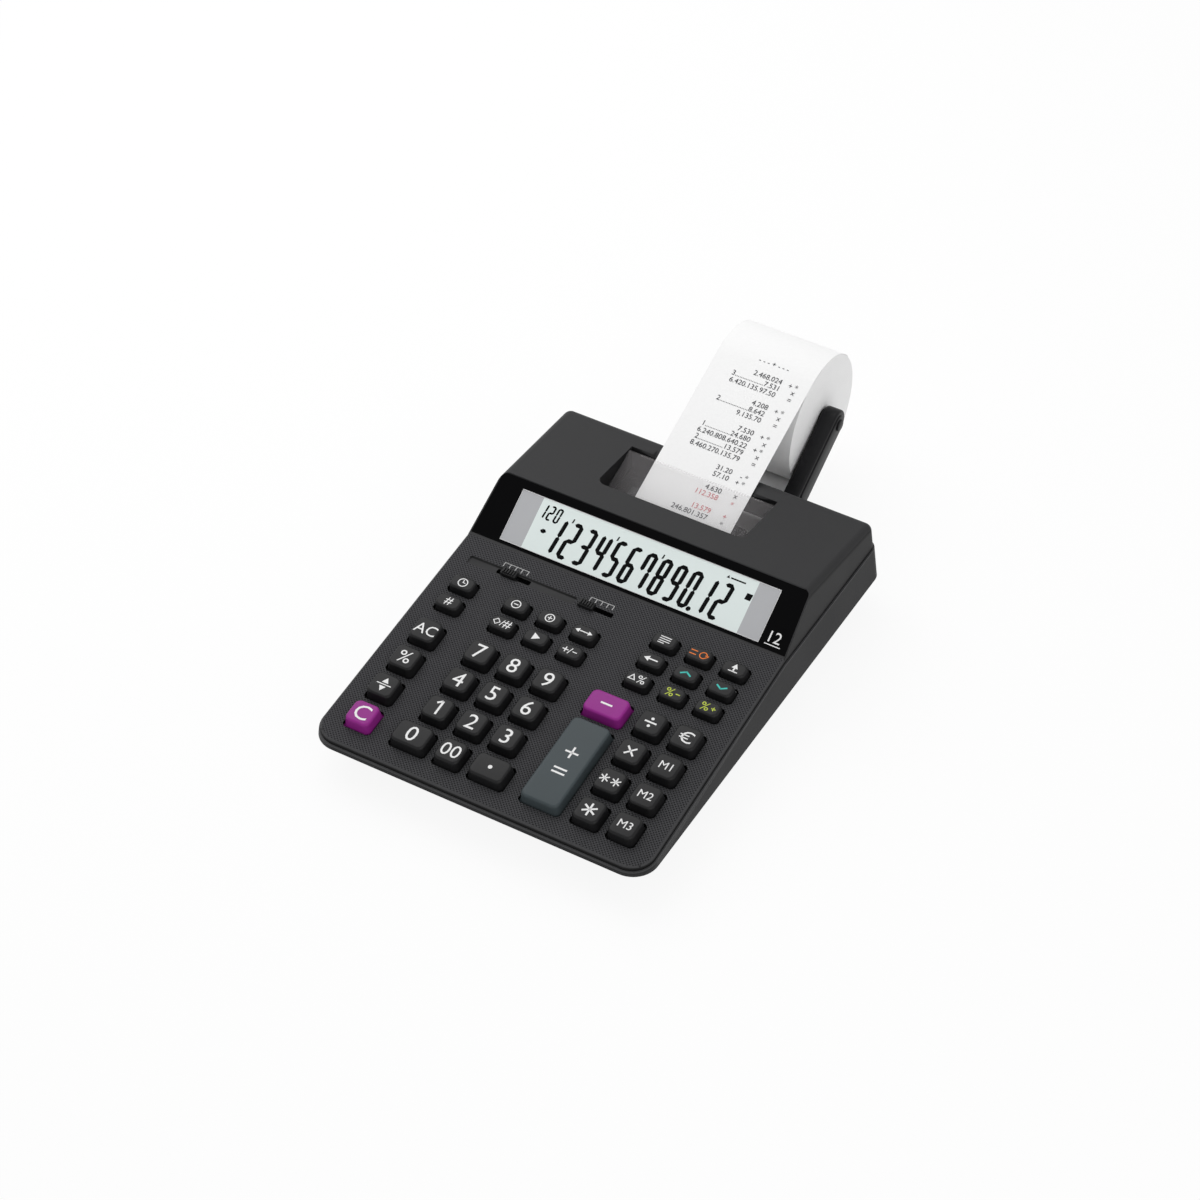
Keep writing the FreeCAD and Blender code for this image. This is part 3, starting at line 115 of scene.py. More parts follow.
class CalculatorSizes(bpy.types.PropertyGroup):
    """Sizes of the fine forms."""

    deck_tilt: degrees("Deck tilt", "Slope of the key deck", 6.59)
    deck_height: size("Deck height", "Key deck at the front edge", 25.3)
    deck_end: size("Deck end", "Depth where the display slope starts", 151.2)
    deck_edge: size("Deck edge", "Plain edge of the deck outside its openings", 5.0)
    deck_skin: size("Deck skin", "How far from the deck's plane its face may lie", 0.2)
    # Painted shade: the walls of the deck's openings are drawn dark below this depth
    wall_drop: size("Wall drop", "Dark walls of the deck's openings, down from its plane", 0.05)
    # Painted highlight: the deck's outer rounding between these two depths is drawn lighter
    worn_drop: size("Highlight drop", "Upper end of the deck's light rounding, down from its plane", 0.02)
    worn_edge: size("Highlight edge", "Lower end of the deck's light rounding, down from its plane", 0.7)
    dimple_pitch: size("Dimple pitch", "Dimples of the key deck", 1.9)
    dimple_depth: size("Dimple depth", "Dimples of the key deck", 0.32)
    grain_depth: size("Grain depth", "Grain of the lower case", 0.02)
    ridge_depth: size("Ridge depth", "Top of the display slope", 183.0)
    ridge_height: size("Ridge height", "Top of the display slope", 63.0)
    seam_drop: size("Seam drop", "Joint of the cases under the deck", 2.6)
    seam_rear: size("Seam height", "Joint of the cases beside the roof", 40.0)
    # Painted shade in the groove over the joint of the cases
    seam_groove: size("Seam groove", "Dark groove over the joint", 1.4)
    # Painted highlight along the lower case's top edge
    seam_rim: size("Seam rim", "Light edge of the lower case", 0.7)
    foot_radius: size("Foot radius", "Rubber foot", 6.5)
    foot_edge: size("Foot edge", "Round edge of a foot's sole", 0.6)
    foot_rim: size("Foot rim", "Ring round the hollow of a sole", 1.2)
    foot_hollow: size("Foot hollow", "Hollow of a sole", 0.4)
    key_lip: size("Key lip", "Flange of a key beyond its base", 1.35)
    key_flange: size("Key flange", "Thickness of a key's flange", 1.2)
    key_flange_edge: size("Key flange edge", "Round edges of a key's flange", 0.3)
    key_stem: size("Key stem", "Length of the stem under a key", 1.0)
    key_stem_side: size("Key stem side", "Side of the square stem under a key", 4.0)
    key_taper: degrees("Key taper", "Lean of the key walls", 6.0)
    key_corner: size("Key corner", "Round corners of a key", 3.3)
    key_edge: size("Key edge", "Round edge of a key's top", 1.3)
    stem_edge: size("Stem edge", "Round edges of the parts under the deck", 0.2)
    rib_edge: size("Rib edge", "Round edges of grip ribs", 0.25)
    ink_height: size("Ink height", "Printed marks above what carries them", 0.04)
    digit_height: size("Digit height", "Digits on the keys", 9.0)
    mark_height: size("Mark height", "Marks on the small keys", 5.0)
    switch_line: size("Switch line", "Slide switches, along the deck", 136.5)
    switch_groove: size("Switch groove", "Finger groove of the switches, along the deck", 5.4)
    switch_floor: size("Switch floor", "Least depth of the finger groove's floor", 0.3)
    # Painted shadow along the finger groove's rear edge
    switch_shadow: size("Switch shadow", "Dark rear edge of the finger groove", 1.1)
    knob_plate: size("Knob plate", "Underside of a slide knob's plate, under the deck", 0.4)
    knob_edge: size("Knob edge", "Round edges of a slide knob's plate", 0.5)
    knob_ribs: count("Knob ribs", "Ribs on a slide knob", 5)
    knob_rise: size("Knob rise", "Ribs above a slide knob's plate", 0.9)
    knob_root: size("Knob root", "Ribs sunk in a slide knob's plate", 0.3)
    knob_margin: size("Knob margin", "Plain ends of a slide knob beside its ribs", 0.8)
    knob_stem_width: size("Knob stem width", "Stem of a slide knob, across", 4.4)
    knob_stem_depth: size("Knob stem depth", "Stem of a slide knob, along the deck", 2.4)
    knob_foot: size("Knob foot", "Foot plate of a slide knob", 1.2)
    glass_depth: size("Glass depth", "Display glass under the panel's face", 0.5)
    trim_depth: size("Trim depth", "Thin line round the display, under the panel's face", 0.45)
    band_left: size("Left band", "Inner edge of the display's left band, across", -64.0)
    band_right: size("Right band", "Inner edge of the display's right band, across", 64.3)
    segment_height: size("Display digit", "Height of a display digit", 21.2)
    segment_width: size("Display digit width", "Width of a display digit", 6.4)
    segment_pitch: size("Display digit pitch", "Step from one display digit to the next", 8.97)
    segment_stroke: size("Display stroke", "Width of a display segment", 2.3)
    segment_slant: degrees("Display slant", "Lean of the display digits", 6.1)
    segment_base: size("Display base", "Foot of the display digits, along the slope", 4.5)
    segment_start: size("Display start", "Right edge of the first display digit, across", -47.2)
    tooth_count: count("Teeth", "Teeth of the tear edge", 46)
    tooth_pitch: size("Tooth pitch", "Step from one tooth to the next", 1.6)
    tooth_height: size("Tooth height", "Tooth of the tear edge", 1.3)
    tooth_foot: size("Tooth foot", "Half diagonal of a tooth's foot", 0.62)
    tooth_tip: size("Tooth tip", "Half diagonal of a tooth's tip", 0.08)
    tooth_inset: size("Tooth inset", "Teeth in front of the cover's rear edge", 0.2)
    tooth_drop: size("Tooth drop", "Middle of the teeth under the cover's rear edge", 0.9)
    roll_bore: size("Roll bore", "Radius of the paper roll's bore", 6.06)
    roll_edge: size("Roll edge", "Broken edges of the paper roll", 0.25)
    roll_ring: size("Roll ring", "Rings on the paper roll's sides", 0.55)
    paper_gap: size("Paper gap", "Path of the paper above the rollers", 0.22)
    paper_thickness: size("Paper thickness", "Paper", 0.12)
    tape_end: degrees("Tape end", "Free end of the tape on the roll, from the rear", 38.0)
    print_height: size("Print height", "Digits printed on the paper", 3.0)
    print_step: size("Print step", "From one printed row to the next", 4.2)
    print_start: size("Print start", "First printed row, from the platen", 2.0)
    print_right: size("Print right", "Right end of the numbers, from the paper's middle", 13.0)
    print_sign: size("Print sign", "Right end of the signs, from the paper's middle", 22.5)
    arm_gap: size("Arm gap", "From the roll to an arm", 1.2)
    arm_thickness: size("Arm thickness", "Roll arm", 9.0)
    arm_foot: size("Arm foot", "Round end of an arm at its pivot", 8.4)
    arm_head: size("Arm head", "Round end of an arm at the roll's axis", 8.2)
    arm_edge: size("Arm edge", "Round edges of an arm", 1.2)
    arm_root: size("Arm root", "What sits on an arm, sunk in it", 1.0)
    arm_pin: size("Arm pin", "Pin into the roll's core", 8.2)
    arm_pin_radius: size("Arm pin radius", "Pin into the roll's core", 6.0)
    pin_edge: size("Pin edge", "Round edges of the arms' pins", 0.4)
    strip_height: size("Strip height", "Raised strip on an arm's outside", 0.7)
    strip_foot: size("Strip foot", "Round end of the strip towards the pivot", 5.4)
    strip_head: size("Strip head", "Round end of the strip at the roll's axis", 5.6)
    strip_edge: size("Strip edge", "Round edges of the strip", 0.6)
    nub_height: size("Nub height", "Round nub on the outside of an arm's head", 1.6)
    nub_radius: size("Nub radius", "Round nub on the outside of an arm's head", 3.4)
    stub_reach: size("Stub reach", "Pivot stubs beyond an arm, in the lugs", 4.3)
    stub_radius: size("Stub radius", "Pivot stubs of an arm", 2.5)
    pivot_depth: size("Pivot depth", "Pivot of the arms, from the front", 266.0)
    pivot_height: size("Pivot height", "Pivot of the arms, above the desk", 15.5)
    grip_ribs: count("Grip ribs", "Ribs on the battery cover", 6)
    grip_start: size("Grip start", "First rib, from the battery cover's rear edge", 7.0)
    grip_pitch: size("Grip pitch", "Step from one rib to the next", 2.4)
    grip_reach: size("Grip reach", "Half length of the first rib", 12.0)
    grip_step: size("Grip step", "What each next rib is shorter by, at either end", 1.6)
    grip_width: size("Grip width", "Width of a rib", 1.2)
    grip_height: size("Grip height", "Rib under the battery cover", 0.5)
    grip_root: size("Grip root", "Rib sunk in the battery cover", 0.3)
    screw_inset: size("Screw inset", "Case screws, inwards from the feet's outer edges", 40.0)
    screw_radius: size("Screw radius", "Rim of a screw's head", 3.0)
    screw_face: size("Screw face", "Radius of a screw's face", 2.6)
    screw_head: size("Screw head", "Thickness of a screw's head", 0.9)
    screw_drop: size("Screw drop", "Middle of a screw's head under the base", 0.35)
    screw_edge: size("Screw edge", "Round edge of a screw's face", 0.3)
    inlet_depth: size("Inlet depth", "Adapter socket, from the front", 214.0)
    inlet_height: size("Inlet height", "Adapter socket, above the desk", 30.0)
    inlet_sunk: size("Inlet sunk", "Middle of the socket's pin, inwards from the left side", 5.0)
    inlet_pin: size("Inlet pin", "Length of the socket's pin", 6.0)
    inlet_pin_radius: size("Inlet pin radius", "Pin of the adapter socket", 0.9)
    inlet_back: size("Inlet back", "Thickness of the socket's back", 1.0)
    inlet_radius: size("Inlet radius", "Back of the adapter socket", 4.2)


class CalculatorColours(bpy.types.PropertyGroup):
    """Colours of the finishes."""

    case: colour("Case", "Charcoal moulding", (45, 45, 46))
    deck: colour("Deck", "Key deck", (47, 47, 49))
    key: colour("Key", "Black keys", (25, 25, 26))
    purple: colour("Purple key", "Clear and minus keys", (142, 38, 132))
    slate: colour("Slate key", "Plus key", (62, 70, 73))
    ink: colour("Key ink", "White marks", (236, 236, 236))
    orange: colour("Orange ink", "Orange mark", (232, 120, 40))
    teal: colour("Teal ink", "Arrow marks", (60, 190, 180))
    lime: colour("Lime ink", "Percent marks", (190, 205, 70))
    panel: colour("Panel", "Gloss black panel", (3, 3, 4))
    glass: colour("Glass", "Display ground", (222, 232, 230))
    band: colour("Band", "Side bands of the display", (172, 173, 176))
    segment: colour("Segment", "Display digits", (9, 9, 10))
    paper: colour("Paper", "Paper", (246, 246, 246))
    print_ink: colour("Print ink", "Print on the paper", (44, 44, 50))
    red_ink: colour("Red ink", "Red print on the paper", (214, 110, 116))
    # Pale, so that the cover's colour stands partly for painted reflection as well as its smoke
    smoke: colour("Smoke", "Smoked cover", (226, 222, 224))
    arm: colour("Arm", "Roll arms", (22, 22, 24))
    rubber: colour("Rubber", "Feet, platen and dome sheet", (40, 40, 42))
    # The frame's dark steel, made darker as painted shade for the inside of the case
    steel: colour("Steel", "Printer frame", (25, 25, 27))
    board: colour("Board", "Circuit board", (36, 92, 62))
    wrap: colour("Cell wrap", "Battery cells", (70, 96, 130))
    zinc: colour("Zinc", "Case screws", (153.3, 153.3, 155.5))
    nickel: colour("Nickel", "Adapter socket", (187.5, 187.5, 187.5))


class Value:
    """A socket of a node tree: sums, products and comparisons of it add Math nodes."""

    def __init__(self, nodes, socket):
        self.nodes = nodes
        self.socket = socket

    def __add__(self, other):
        return self.nodes.reckon("ADD", self, other)

    def __sub__(self, other):
        return self.nodes.reckon("SUBTRACT", self, other)

    def __rsub__(self, other):
        return self.nodes.reckon("SUBTRACT", other, self)

    def __mul__(self, other):
        return self.nodes.reckon("MULTIPLY", self, other)

    def __gt__(self, other):
        return self.nodes.reckon("GREATER_THAN", self, other)

    def __lt__(self, other):
        return self.nodes.reckon("LESS_THAN", self, other)

    __radd__ = __add__
    __rmul__ = __mul__


class Nodes:
    """The nodes of a material or of the world."""

    def __init__(self, tree):
        self.tree = tree

    def node(self, kind, settings=None, sockets=None, output=0):
        made = self.tree.nodes.new(kind)
        for name, value in (settings or {}).items():
            setattr(made, name, value)
        for name, value in (sockets or {}).items():
            self.feed(made.inputs[name], value)
        return Value(self, made.outputs[output])

    def feed(self, socket, value):
        if isinstance(value, Value):
            self.tree.links.new(value.socket, socket)
        else:
            socket.default_value = value

    def reckon(self, operation, first, second=0.0):
        return self.node("ShaderNodeMath", {"operation": operation}, {0: first, 1: second})

    def seen_as_white(self):
        """1 for the eye, for gloss and through glass, 0 for the light that is given back."""
        ray = self.tree.nodes.new("ShaderNodeLightPath")
        rays = ("Is Camera Ray", "Is Glossy Ray", "Is Transmission Ray")
        eye, gloss, through = [Value(self, ray.outputs[name]) for name in rays]
        return eye + gloss + through


class Finish(Nodes):
    """A material and its nodes."""

    def __init__(self, name, **constants):
        self.material = bpy.data.materials.new(name)
        self.material.use_nodes = True
        super().__init__(self.material.node_tree)
        self.shader = self.tree.nodes["Principled BSDF"]
        self.surface(**constants)

    def surface(self, **values):
        for name, value in values.items():
            self.feed(self.shader.inputs[name.replace("_", " ")], value)
        return self

    def place(self):
        return self.node("ShaderNodeTexCoord", output="Object")

    def axis(self, vector, letter):
        return self.node("ShaderNodeSeparateXYZ", None, {0: vector}, letter)

    def noise(self, scale, detail=2.0, place=None):
        sockets = {"Vector": place or self.place(), "Scale": scale, "Detail": detail}
        return self.node("ShaderNodeTexNoise", None, sockets)

    def mix(self, share, first, second):
        first, second = [(*c, 1.0) if isinstance(c, tuple) else c for c in (first, second)]
        return self.node("ShaderNodeMix", {"data_type": "RGBA"}, {0: share, 6: first, 7: second}, 2)

    def wave(self, value, pitch):
        """A cosine along a value in metres."""
        return self.reckon("COSINE", value * (math.tau / pitch))

    def bump(self, height, distance):
        return self.node("ShaderNodeBump", None, {"Height": height, "Distance": distance, "Strength": 1.0})


# Slow drift and fine grain of mouldings

DRIFT_SCALE, DRIFT_GLOSS = 38.0, 0.12
DRIFT_DARK, DRIFT_LIGHT = 0.86, 1.14
GRAIN_SCALE, GRAIN_GLOSS, GRAIN_DEPTH = 2600.0, 0.1, 0.02 * MM
MOULDED_DETAIL = 3.0

# Printed ink

INK_SCALE, INK_THIN = 1500.0, 0.9
INK_ROUGHNESS, INK_UNEVEN = 0.45, 0.2


def shade(base, factor):
    """A colour made lighter or darker by a factor."""
    return tuple(min(1.0, part * factor) for part in base)


def tone(name, factor=1.0):
    """One of the calculator's colours, made lighter or darker by a factor."""
    return shade(tuple(getattr(bpy.context.scene.calculator_colours, name)), factor)


def drift_and_grain(finish, scale=GRAIN_SCALE):
    """A slow drift and a fine grain over a moulding, both from 0 to 1."""
    return finish.noise(DRIFT_SCALE, MOULDED_DETAIL), finish.noise(scale, MOULDED_DETAIL)


def uneven_gloss(drift, grain, roughness, grain_gloss=GRAIN_GLOSS):
    """A roughness that drift and grain move up and down."""
    return (drift - 0.5) * DRIFT_GLOSS + (grain - 0.5) * grain_gloss + roughness


def moulded(name, base, roughness, scale=GRAIN_SCALE, depth=GRAIN_DEPTH, gloss=0.16, **constants):
    """Moulded plastic: fine grain, and a slow drift of tone and gloss."""
    finish = Finish(name, Specular_IOR_Level=gloss, **constants)
    drift, grain = drift_and_grain(finish, scale)
    toned = finish.mix(drift, shade(base, DRIFT_DARK), shade(base, DRIFT_LIGHT))
    return finish.surface(Base_Color=toned, Roughness=uneven_gloss(drift, grain, roughness),
                          Normal=finish.bump(grain, depth))


def ink(name, base, gloss=0.3):
    """Printed ink, a little thin in places."""
    finish = Finish(name, Specular_IOR_Level=gloss)
    cover = finish.noise(INK_SCALE)
    return finish.surface(Base_Color=finish.mix(cover, shade(base, INK_THIN), base),
                          Roughness=cover * INK_UNEVEN + INK_ROUGHNESS)


def place_on_deck(x, along, height):
    """The key deck's own axes, at a place counted from the middle of its front edge."""
    sizes = bpy.context.scene.calculator_sizes
    start = Matrix.Translation((0, FRONT, sizes.deck_height)) @ Matrix.Rotation(sizes.deck_tilt, 4, "X")
    return start @ Matrix.Translation((x, along, height))


def place_on_slope(height):
    """The display slope's own axes, from the middle of its lower edge."""
    sizes = bpy.context.scene.calculator_sizes
    start = sizes.deck_height + sizes.deck_end * math.tan(sizes.deck_tilt)
    rise = math.atan2(sizes.ridge_height - start, sizes.ridge_depth - sizes.deck_end)
    corner = Matrix.Translation((0, FRONT + sizes.deck_end, start)) @ Matrix.Rotation(rise, 4, "X")
    return corner @ Matrix.Translation((0, 0, height))


def deck_box(node):
    """Lowest and highest corner of a CAD node in the deck's own axes."""
    to_deck = place_on_deck(0, 0, 0).inverted()
    points = [to_deck @ vert.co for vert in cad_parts[node].data.vertices]
    return [Vector([end(point[i] for point in points) for i in range(3)]) for end in (min, max)]


def level(point, z):
    """The same place at another height."""
    return Vector((point.x, point.y, z))


def merged_copy(node):
    """A CAD node's mesh as a bmesh without doubles."""
    bm = bmesh.new()
    bm.from_mesh(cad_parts[node].data)
    bmesh.ops.remove_doubles(bm, verts=bm.verts, dist=MERGE)
    return bm


def dress(node, finish):
    """Gives a CAD node a finish."""
    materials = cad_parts[node].data.materials
    materials.clear()
    materials.append(finish.material)


# Angles in degrees past which an edge is shaded sharp

SHARP, CASE_SHARP, KEY_SHARP = 38.0, 22.0, 42.0


def piece(name, bm, finishes, body, nodes=(), sharp=SHARP):
    """Makes a bmesh an object of the scene that rides on a body, smooth up to an angle."""
    mesh = bpy.data.meshes.new(name)
    bm.to_mesh(mesh)
    bm.free()
    for finish in finishes:
        mesh.materials.append(finish.material)
    mesh.polygons.foreach_set("use_smooth", [True] * len(mesh.polygons))
    mesh.set_sharp_from_angle(angle=math.radians(sharp))
    made = bpy.data.objects.new(name, mesh)
    bpy.context.scene.collection.objects.link(made)
    if nodes:
        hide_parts(*nodes)
    if body:
        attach(made, body)
    return made


def join(bm, part):
    """Adds one bmesh to another and frees it."""
    mesh = bpy.data.meshes.new("part")
    part.to_mesh(mesh)
    part.free()
    bm.from_mesh(mesh)
    bpy.data.meshes.remove(mesh)


def rounded(bm, edges, radius, segments):
    """Rounds edges to a radius."""
    bmesh.ops.bevel(bm, geom=edges, offset=radius, offset_type="OFFSET", segments=segments, profile=0.5,
                    affect="EDGES", clamp_overlap=True, material=-1)


def edges_of(verts):
    return list({edge for vert in verts for edge in vert.link_edges})


def steep_edges(bm):
    """Edges at which two faces meet at more than 60 degrees."""
    steep = math.radians(60.0)
    return [edge for edge in bm.edges if len(edge.link_faces) == 2 and edge.calc_face_angle() > steep]


def box(bm, low, high, place, radius=0.0, segments=2):
    """A block between two corners in a placement's own axes, with round edges where a radius is given."""
    low, high = Vector(low), Vector(high)
    spread = place @ Matrix.Translation((low + high) / 2) @ Matrix.Diagonal((*(high - low), 1.0))
    verts = bmesh.ops.create_cube(bm, size=1.0, matrix=spread)["verts"]
    if radius:
        rounded(bm, edges_of(verts), radius, segments)


def post(bm, place, radius, length, sides, tip=None):
    """A bar about a placement's own Z; tip is the radius of its far end where it differs."""
    made = bmesh.ops.create_cone(bm, cap_ends=True, segments=sides, radius1=radius,
                                 radius2=radius if tip is None else tip, depth=length, matrix=place)
    return made["verts"]


# Digit height as a share of the letters' size, a star's stroke in reaches, a chevron's lean in degrees

DIGIT_SHARE = 0.69
STAR_STROKE = 0.26
CHEVRON_LEAN = 32.0


def lettering(text, height):
    """A line of letters as a mesh, centred on its middle; height is that of a digit."""
    curve = bpy.data.curves.new("lettering", "FONT")
    curve.body = text
    curve.size = height / DIGIT_SHARE
    curve.resolution_u = 3
    holder = bpy.data.objects.new("lettering", curve)
    mesh = bpy.data.meshes.new_from_object(holder)
    bpy.data.objects.remove(holder)
    bpy.data.curves.remove(curve)
    xs = [vert.co.x for vert in mesh.vertices]
    ys = [vert.co.y for vert in mesh.vertices]
    mesh.transform(Matrix.Translation((-(min(xs) + max(xs)) / 2, -(min(ys) + max(ys)) / 2, 0)))
    return mesh


class Marks:
    """Flat marks in a plane of their own, drawn in millimetres and gathered in one bmesh."""

    def __init__(self):
        self.bm = bmesh.new()

    def at(self, x, y, turn=0.0):
        return Matrix.Translation((x * MM, y * MM, 0)) @ Matrix.Rotation(math.radians(turn), 4, "Z")

    def text(self, words, height, x=0.0, y=0.0):
        mesh = lettering(words, height * MM)
        mesh.transform(self.at(x, y))
        self.bm.from_mesh(mesh)
        bpy.data.meshes.remove(mesh)
        return self

    def bar(self, width, height, x=0.0, y=0.0, turn=0.0):
        shape = self.at(x, y, turn) @ Matrix.Diagonal((width * MM, height * MM, 1, 1))
        bmesh.ops.create_grid(self.bm, x_segments=1, y_segments=1, size=0.5, matrix=shape)
        return self

    def disc(self, radius, x=0.0, y=0.0, sides=20, turn=0.0):
        self.circle(radius, sides, self.at(x, y, turn))
        return self

    def ring(self, radius, stroke, x=0.0, y=0.0, sides=24, turn=0.0):
        face = self.circle(radius, sides, self.at(x, y, turn))[0].link_faces[0]
        bmesh.ops.inset_region(self.bm, faces=[face], thickness=stroke * MM, use_boundary=True,
                               use_even_offset=True)
        bmesh.ops.delete(self.bm, geom=[face], context="FACES_ONLY")
        return self

    def dart(self, length, stroke, x, y, turn):
        """A bar with pointed ends: a hexagon whose two ends are drawn apart."""
        verts = self.circle(stroke, 6, Matrix.Diagonal((0.5 / math.sin(math.pi / 3), 1, 1, 1)))
        for end in (-1, 1):
            shift = Vector((0, end * (length / 2 - stroke) * MM, 0))
            bmesh.ops.translate(self.bm, verts=[vert for vert in verts if vert.co.y * end > 0], vec=shift)
        bmesh.ops.transform(self.bm, matrix=self.at(x, y, turn), verts=verts)
        return self

    def outline(self, points, x, y):
        """A flat face round a few points."""
        self.bm.faces.new([self.bm.verts.new(((x + px) * MM, (y + py) * MM, 0)) for px, py in points])
        return self

    def chevron(self, width, stroke, up=True):
        lean = CHEVRON_LEAN if up else -CHEVRON_LEAN
        reach = width / 2 / math.cos(math.radians(lean)) + stroke / 2
        return self.bar(reach, stroke, -width / 4, 0, lean).bar(reach, stroke, width / 4, 0, -lean)

    def star(self, reach, x=0.0):
        """Three crossed bars."""
        for turn in (30, 90, 150):
            self.bar(2 * reach, STAR_STROKE * reach, x, 0, turn)
        return self

    def circle(self, radius, sides, place):
        return bmesh.ops.create_circle(self.bm, cap_ends=True, segments=sides, radius=radius * MM,
                                       matrix=place)["verts"]

    def placed(self, place):
        """Turns the marks face up, lays them out and gives their bmesh."""
        self.bm.normal_update()
        for face in self.bm.faces:
            if face.normal.z < 0:
                face.normal_flip()
        self.bm.transform(place)
        return self.bm


# Inks of the keys whose marks are not white

MARK_INKS = {"key_up": "teal", "key_down": "teal", "key_tax_minus": "lime", "key_tax_plus": "lime",
             "key_reprint": "orange"}


def key_marks(sizes):
    """The marks of each key, drawn in millimetres about the middle of its top."""
    digit = sizes.digit_height / MM
    small = sizes.mark_height / MM
    one = Marks().bar(0.13 * digit, digit, 0.1 * digit)
    one.bar(0.36 * digit, 0.13 * digit, -0.06 * digit, 0.38 * digit, 38)
    plus = Marks().bar(7.4, 1.1, 0, 6.0).bar(1.1, 7.4, 0, 6.0).bar(7.4, 1.1, 0, -5.2).bar(7.4, 1.1, 0, -8.0)
    lines = Marks().bar(6.2, 0.5, 0, 1.9).bar(6.2, 0.5, 0, 0.5)
    lines.bar(6.2, 0.5, 0, -0.9).bar(3.6, 0.5, -1.3, -2.2)
    again = Marks().ring(2.2, 0.5, 2.2).disc(1.3, 4.2, 0, 3, 180)
    again.bar(3.8, 0.55, -3.4, 1.2).bar(3.8, 0.55, -3.4, -1.2)
    marks = {f"key_{number}": one if number == 1 else Marks().text(str(number), digit)
             for number in range(10)}
    marks.update({
        "key_00": Marks().text("00", 0.86 * digit),
        "key_point": Marks().disc(1.15),
        "key_clear": Marks().text("C", digit),
        "key_clear_all": Marks().text("AC", 6.4),
        "key_percent": Marks().text("%", 7.6),
        "key_markup": Marks().disc(2.2, 0, 2.2, 3).bar(8.4, 0.55).disc(2.2, 0, -2.2, 3, 180),
        "key_item": Marks().text("#", small),
        "key_time": Marks().ring(2.8, 0.55).bar(0.5, 1.9, 0, 0.8).bar(1.6, 0.5, 0.7),
        "key_hash": Marks().ring(2.2, 0.45, -3.2, 0, 4).bar(0.45, 4.4, 0, 0, -20).text("#", small, 3.0),
        "key_shift": Marks().disc(2.7, -0.4, 0, 3, -90),
        "key_sign": Marks().text("+", small, -2.7).bar(0.45, 4.4, 0, 0, -20).bar(2.6, 0.5, 2.7),
        "key_cost": Marks().ring(2.7, 0.55).bar(2.6, 0.6),
        "key_sell": Marks().ring(2.7, 0.55).bar(2.6, 0.6).bar(0.6, 2.6),
        "key_margin": Marks().disc(1.6, -3.4, 0, 3, 90).bar(5.0, 0.6).disc(1.6, 3.4, 0, 3, -90),
        "key_delta": Marks().ring(2.6, 0.55, -2.9, -0.5, 3).text("%", small, 2.2),
        "key_tax_minus": Marks().text("%", small, -1.5).bar(2.4, 0.6, 3.0),
        "key_tax_plus": Marks().text("%", small, -1.5).bar(2.4, 0.6, 3.2).bar(0.6, 2.4, 3.2),
        "key_correct": Marks().disc(2.0, -2.2, 0, 3, 90).bar(5.0, 0.8, 1.2),
        "key_up": Marks().chevron(5.6, 0.9),
        "key_down": Marks().chevron(5.6, 0.9, up=False),
        "key_print": lines,
        "key_reprint": again,
        "key_feed": Marks().disc(2.0, 0, 0.9, 3).bar(0.9, 1.8, 0, -0.9).bar(5.2, 0.55, 0, -2.3),
        "key_total": Marks().star(4.0),
        "key_grand_total": Marks().star(2.7, 3.2).star(2.7, -3.2),
        "key_multiply": Marks().bar(7.2, 1.0, 0, 0, 45).bar(7.2, 1.0, 0, 0, -45),
        "key_divide": Marks().bar(6.6, 1.0).disc(0.85, 0, 2.4).disc(0.85, 0, -2.4),
        "key_currency": Marks().text("C", 7.2, 0.6).bar(5.0, 0.7, -1.0, 0.9).bar(5.0, 0.7, -1.0, -0.9),
        "key_memory_1": Marks().text("M1", 4.6),
        "key_memory_2": Marks().text("M2", 4.6),
        "key_memory_3": Marks().text("M3", 4.6),
        "key_minus": Marks().bar(6.6, 1.1),
        "key_plus": plus,
    })
    return marks


# Which way a face looks, as a cosine: the deck's face, its openings' walls and the case's walls

DECK_FACING, OPENING_FACING, UPRIGHT_FACING = 0.985, 0.8, 0.5

# Tones of the case's places, as factors of its colours; the tray, upright, dimple and shadow tones are
# painted shade, the highlight and rim tones painted highlights

CASE_DARK, CASE_LIGHT = 0.9, 1.12
TRAY_SHADE_DARK, TRAY_SHADE_LIGHT = 0.72, 0.9
UPRIGHT_SHADE_TONE, DECK_TONE, DIMPLE_SHADE_TONE = 0.56, 1.45, 0.22
SHADOW_TONE, HIGHLIGHT_TONE, RIM_HIGHLIGHT_TONE = 0.12, 2.0, 2.2
DIMPLE_CONTRAST, DIMPLE_GLOSS = 1.2, 0.2
DECK_GRAIN, DECK_GRAIN_GLOSS = 0.08, 0.08


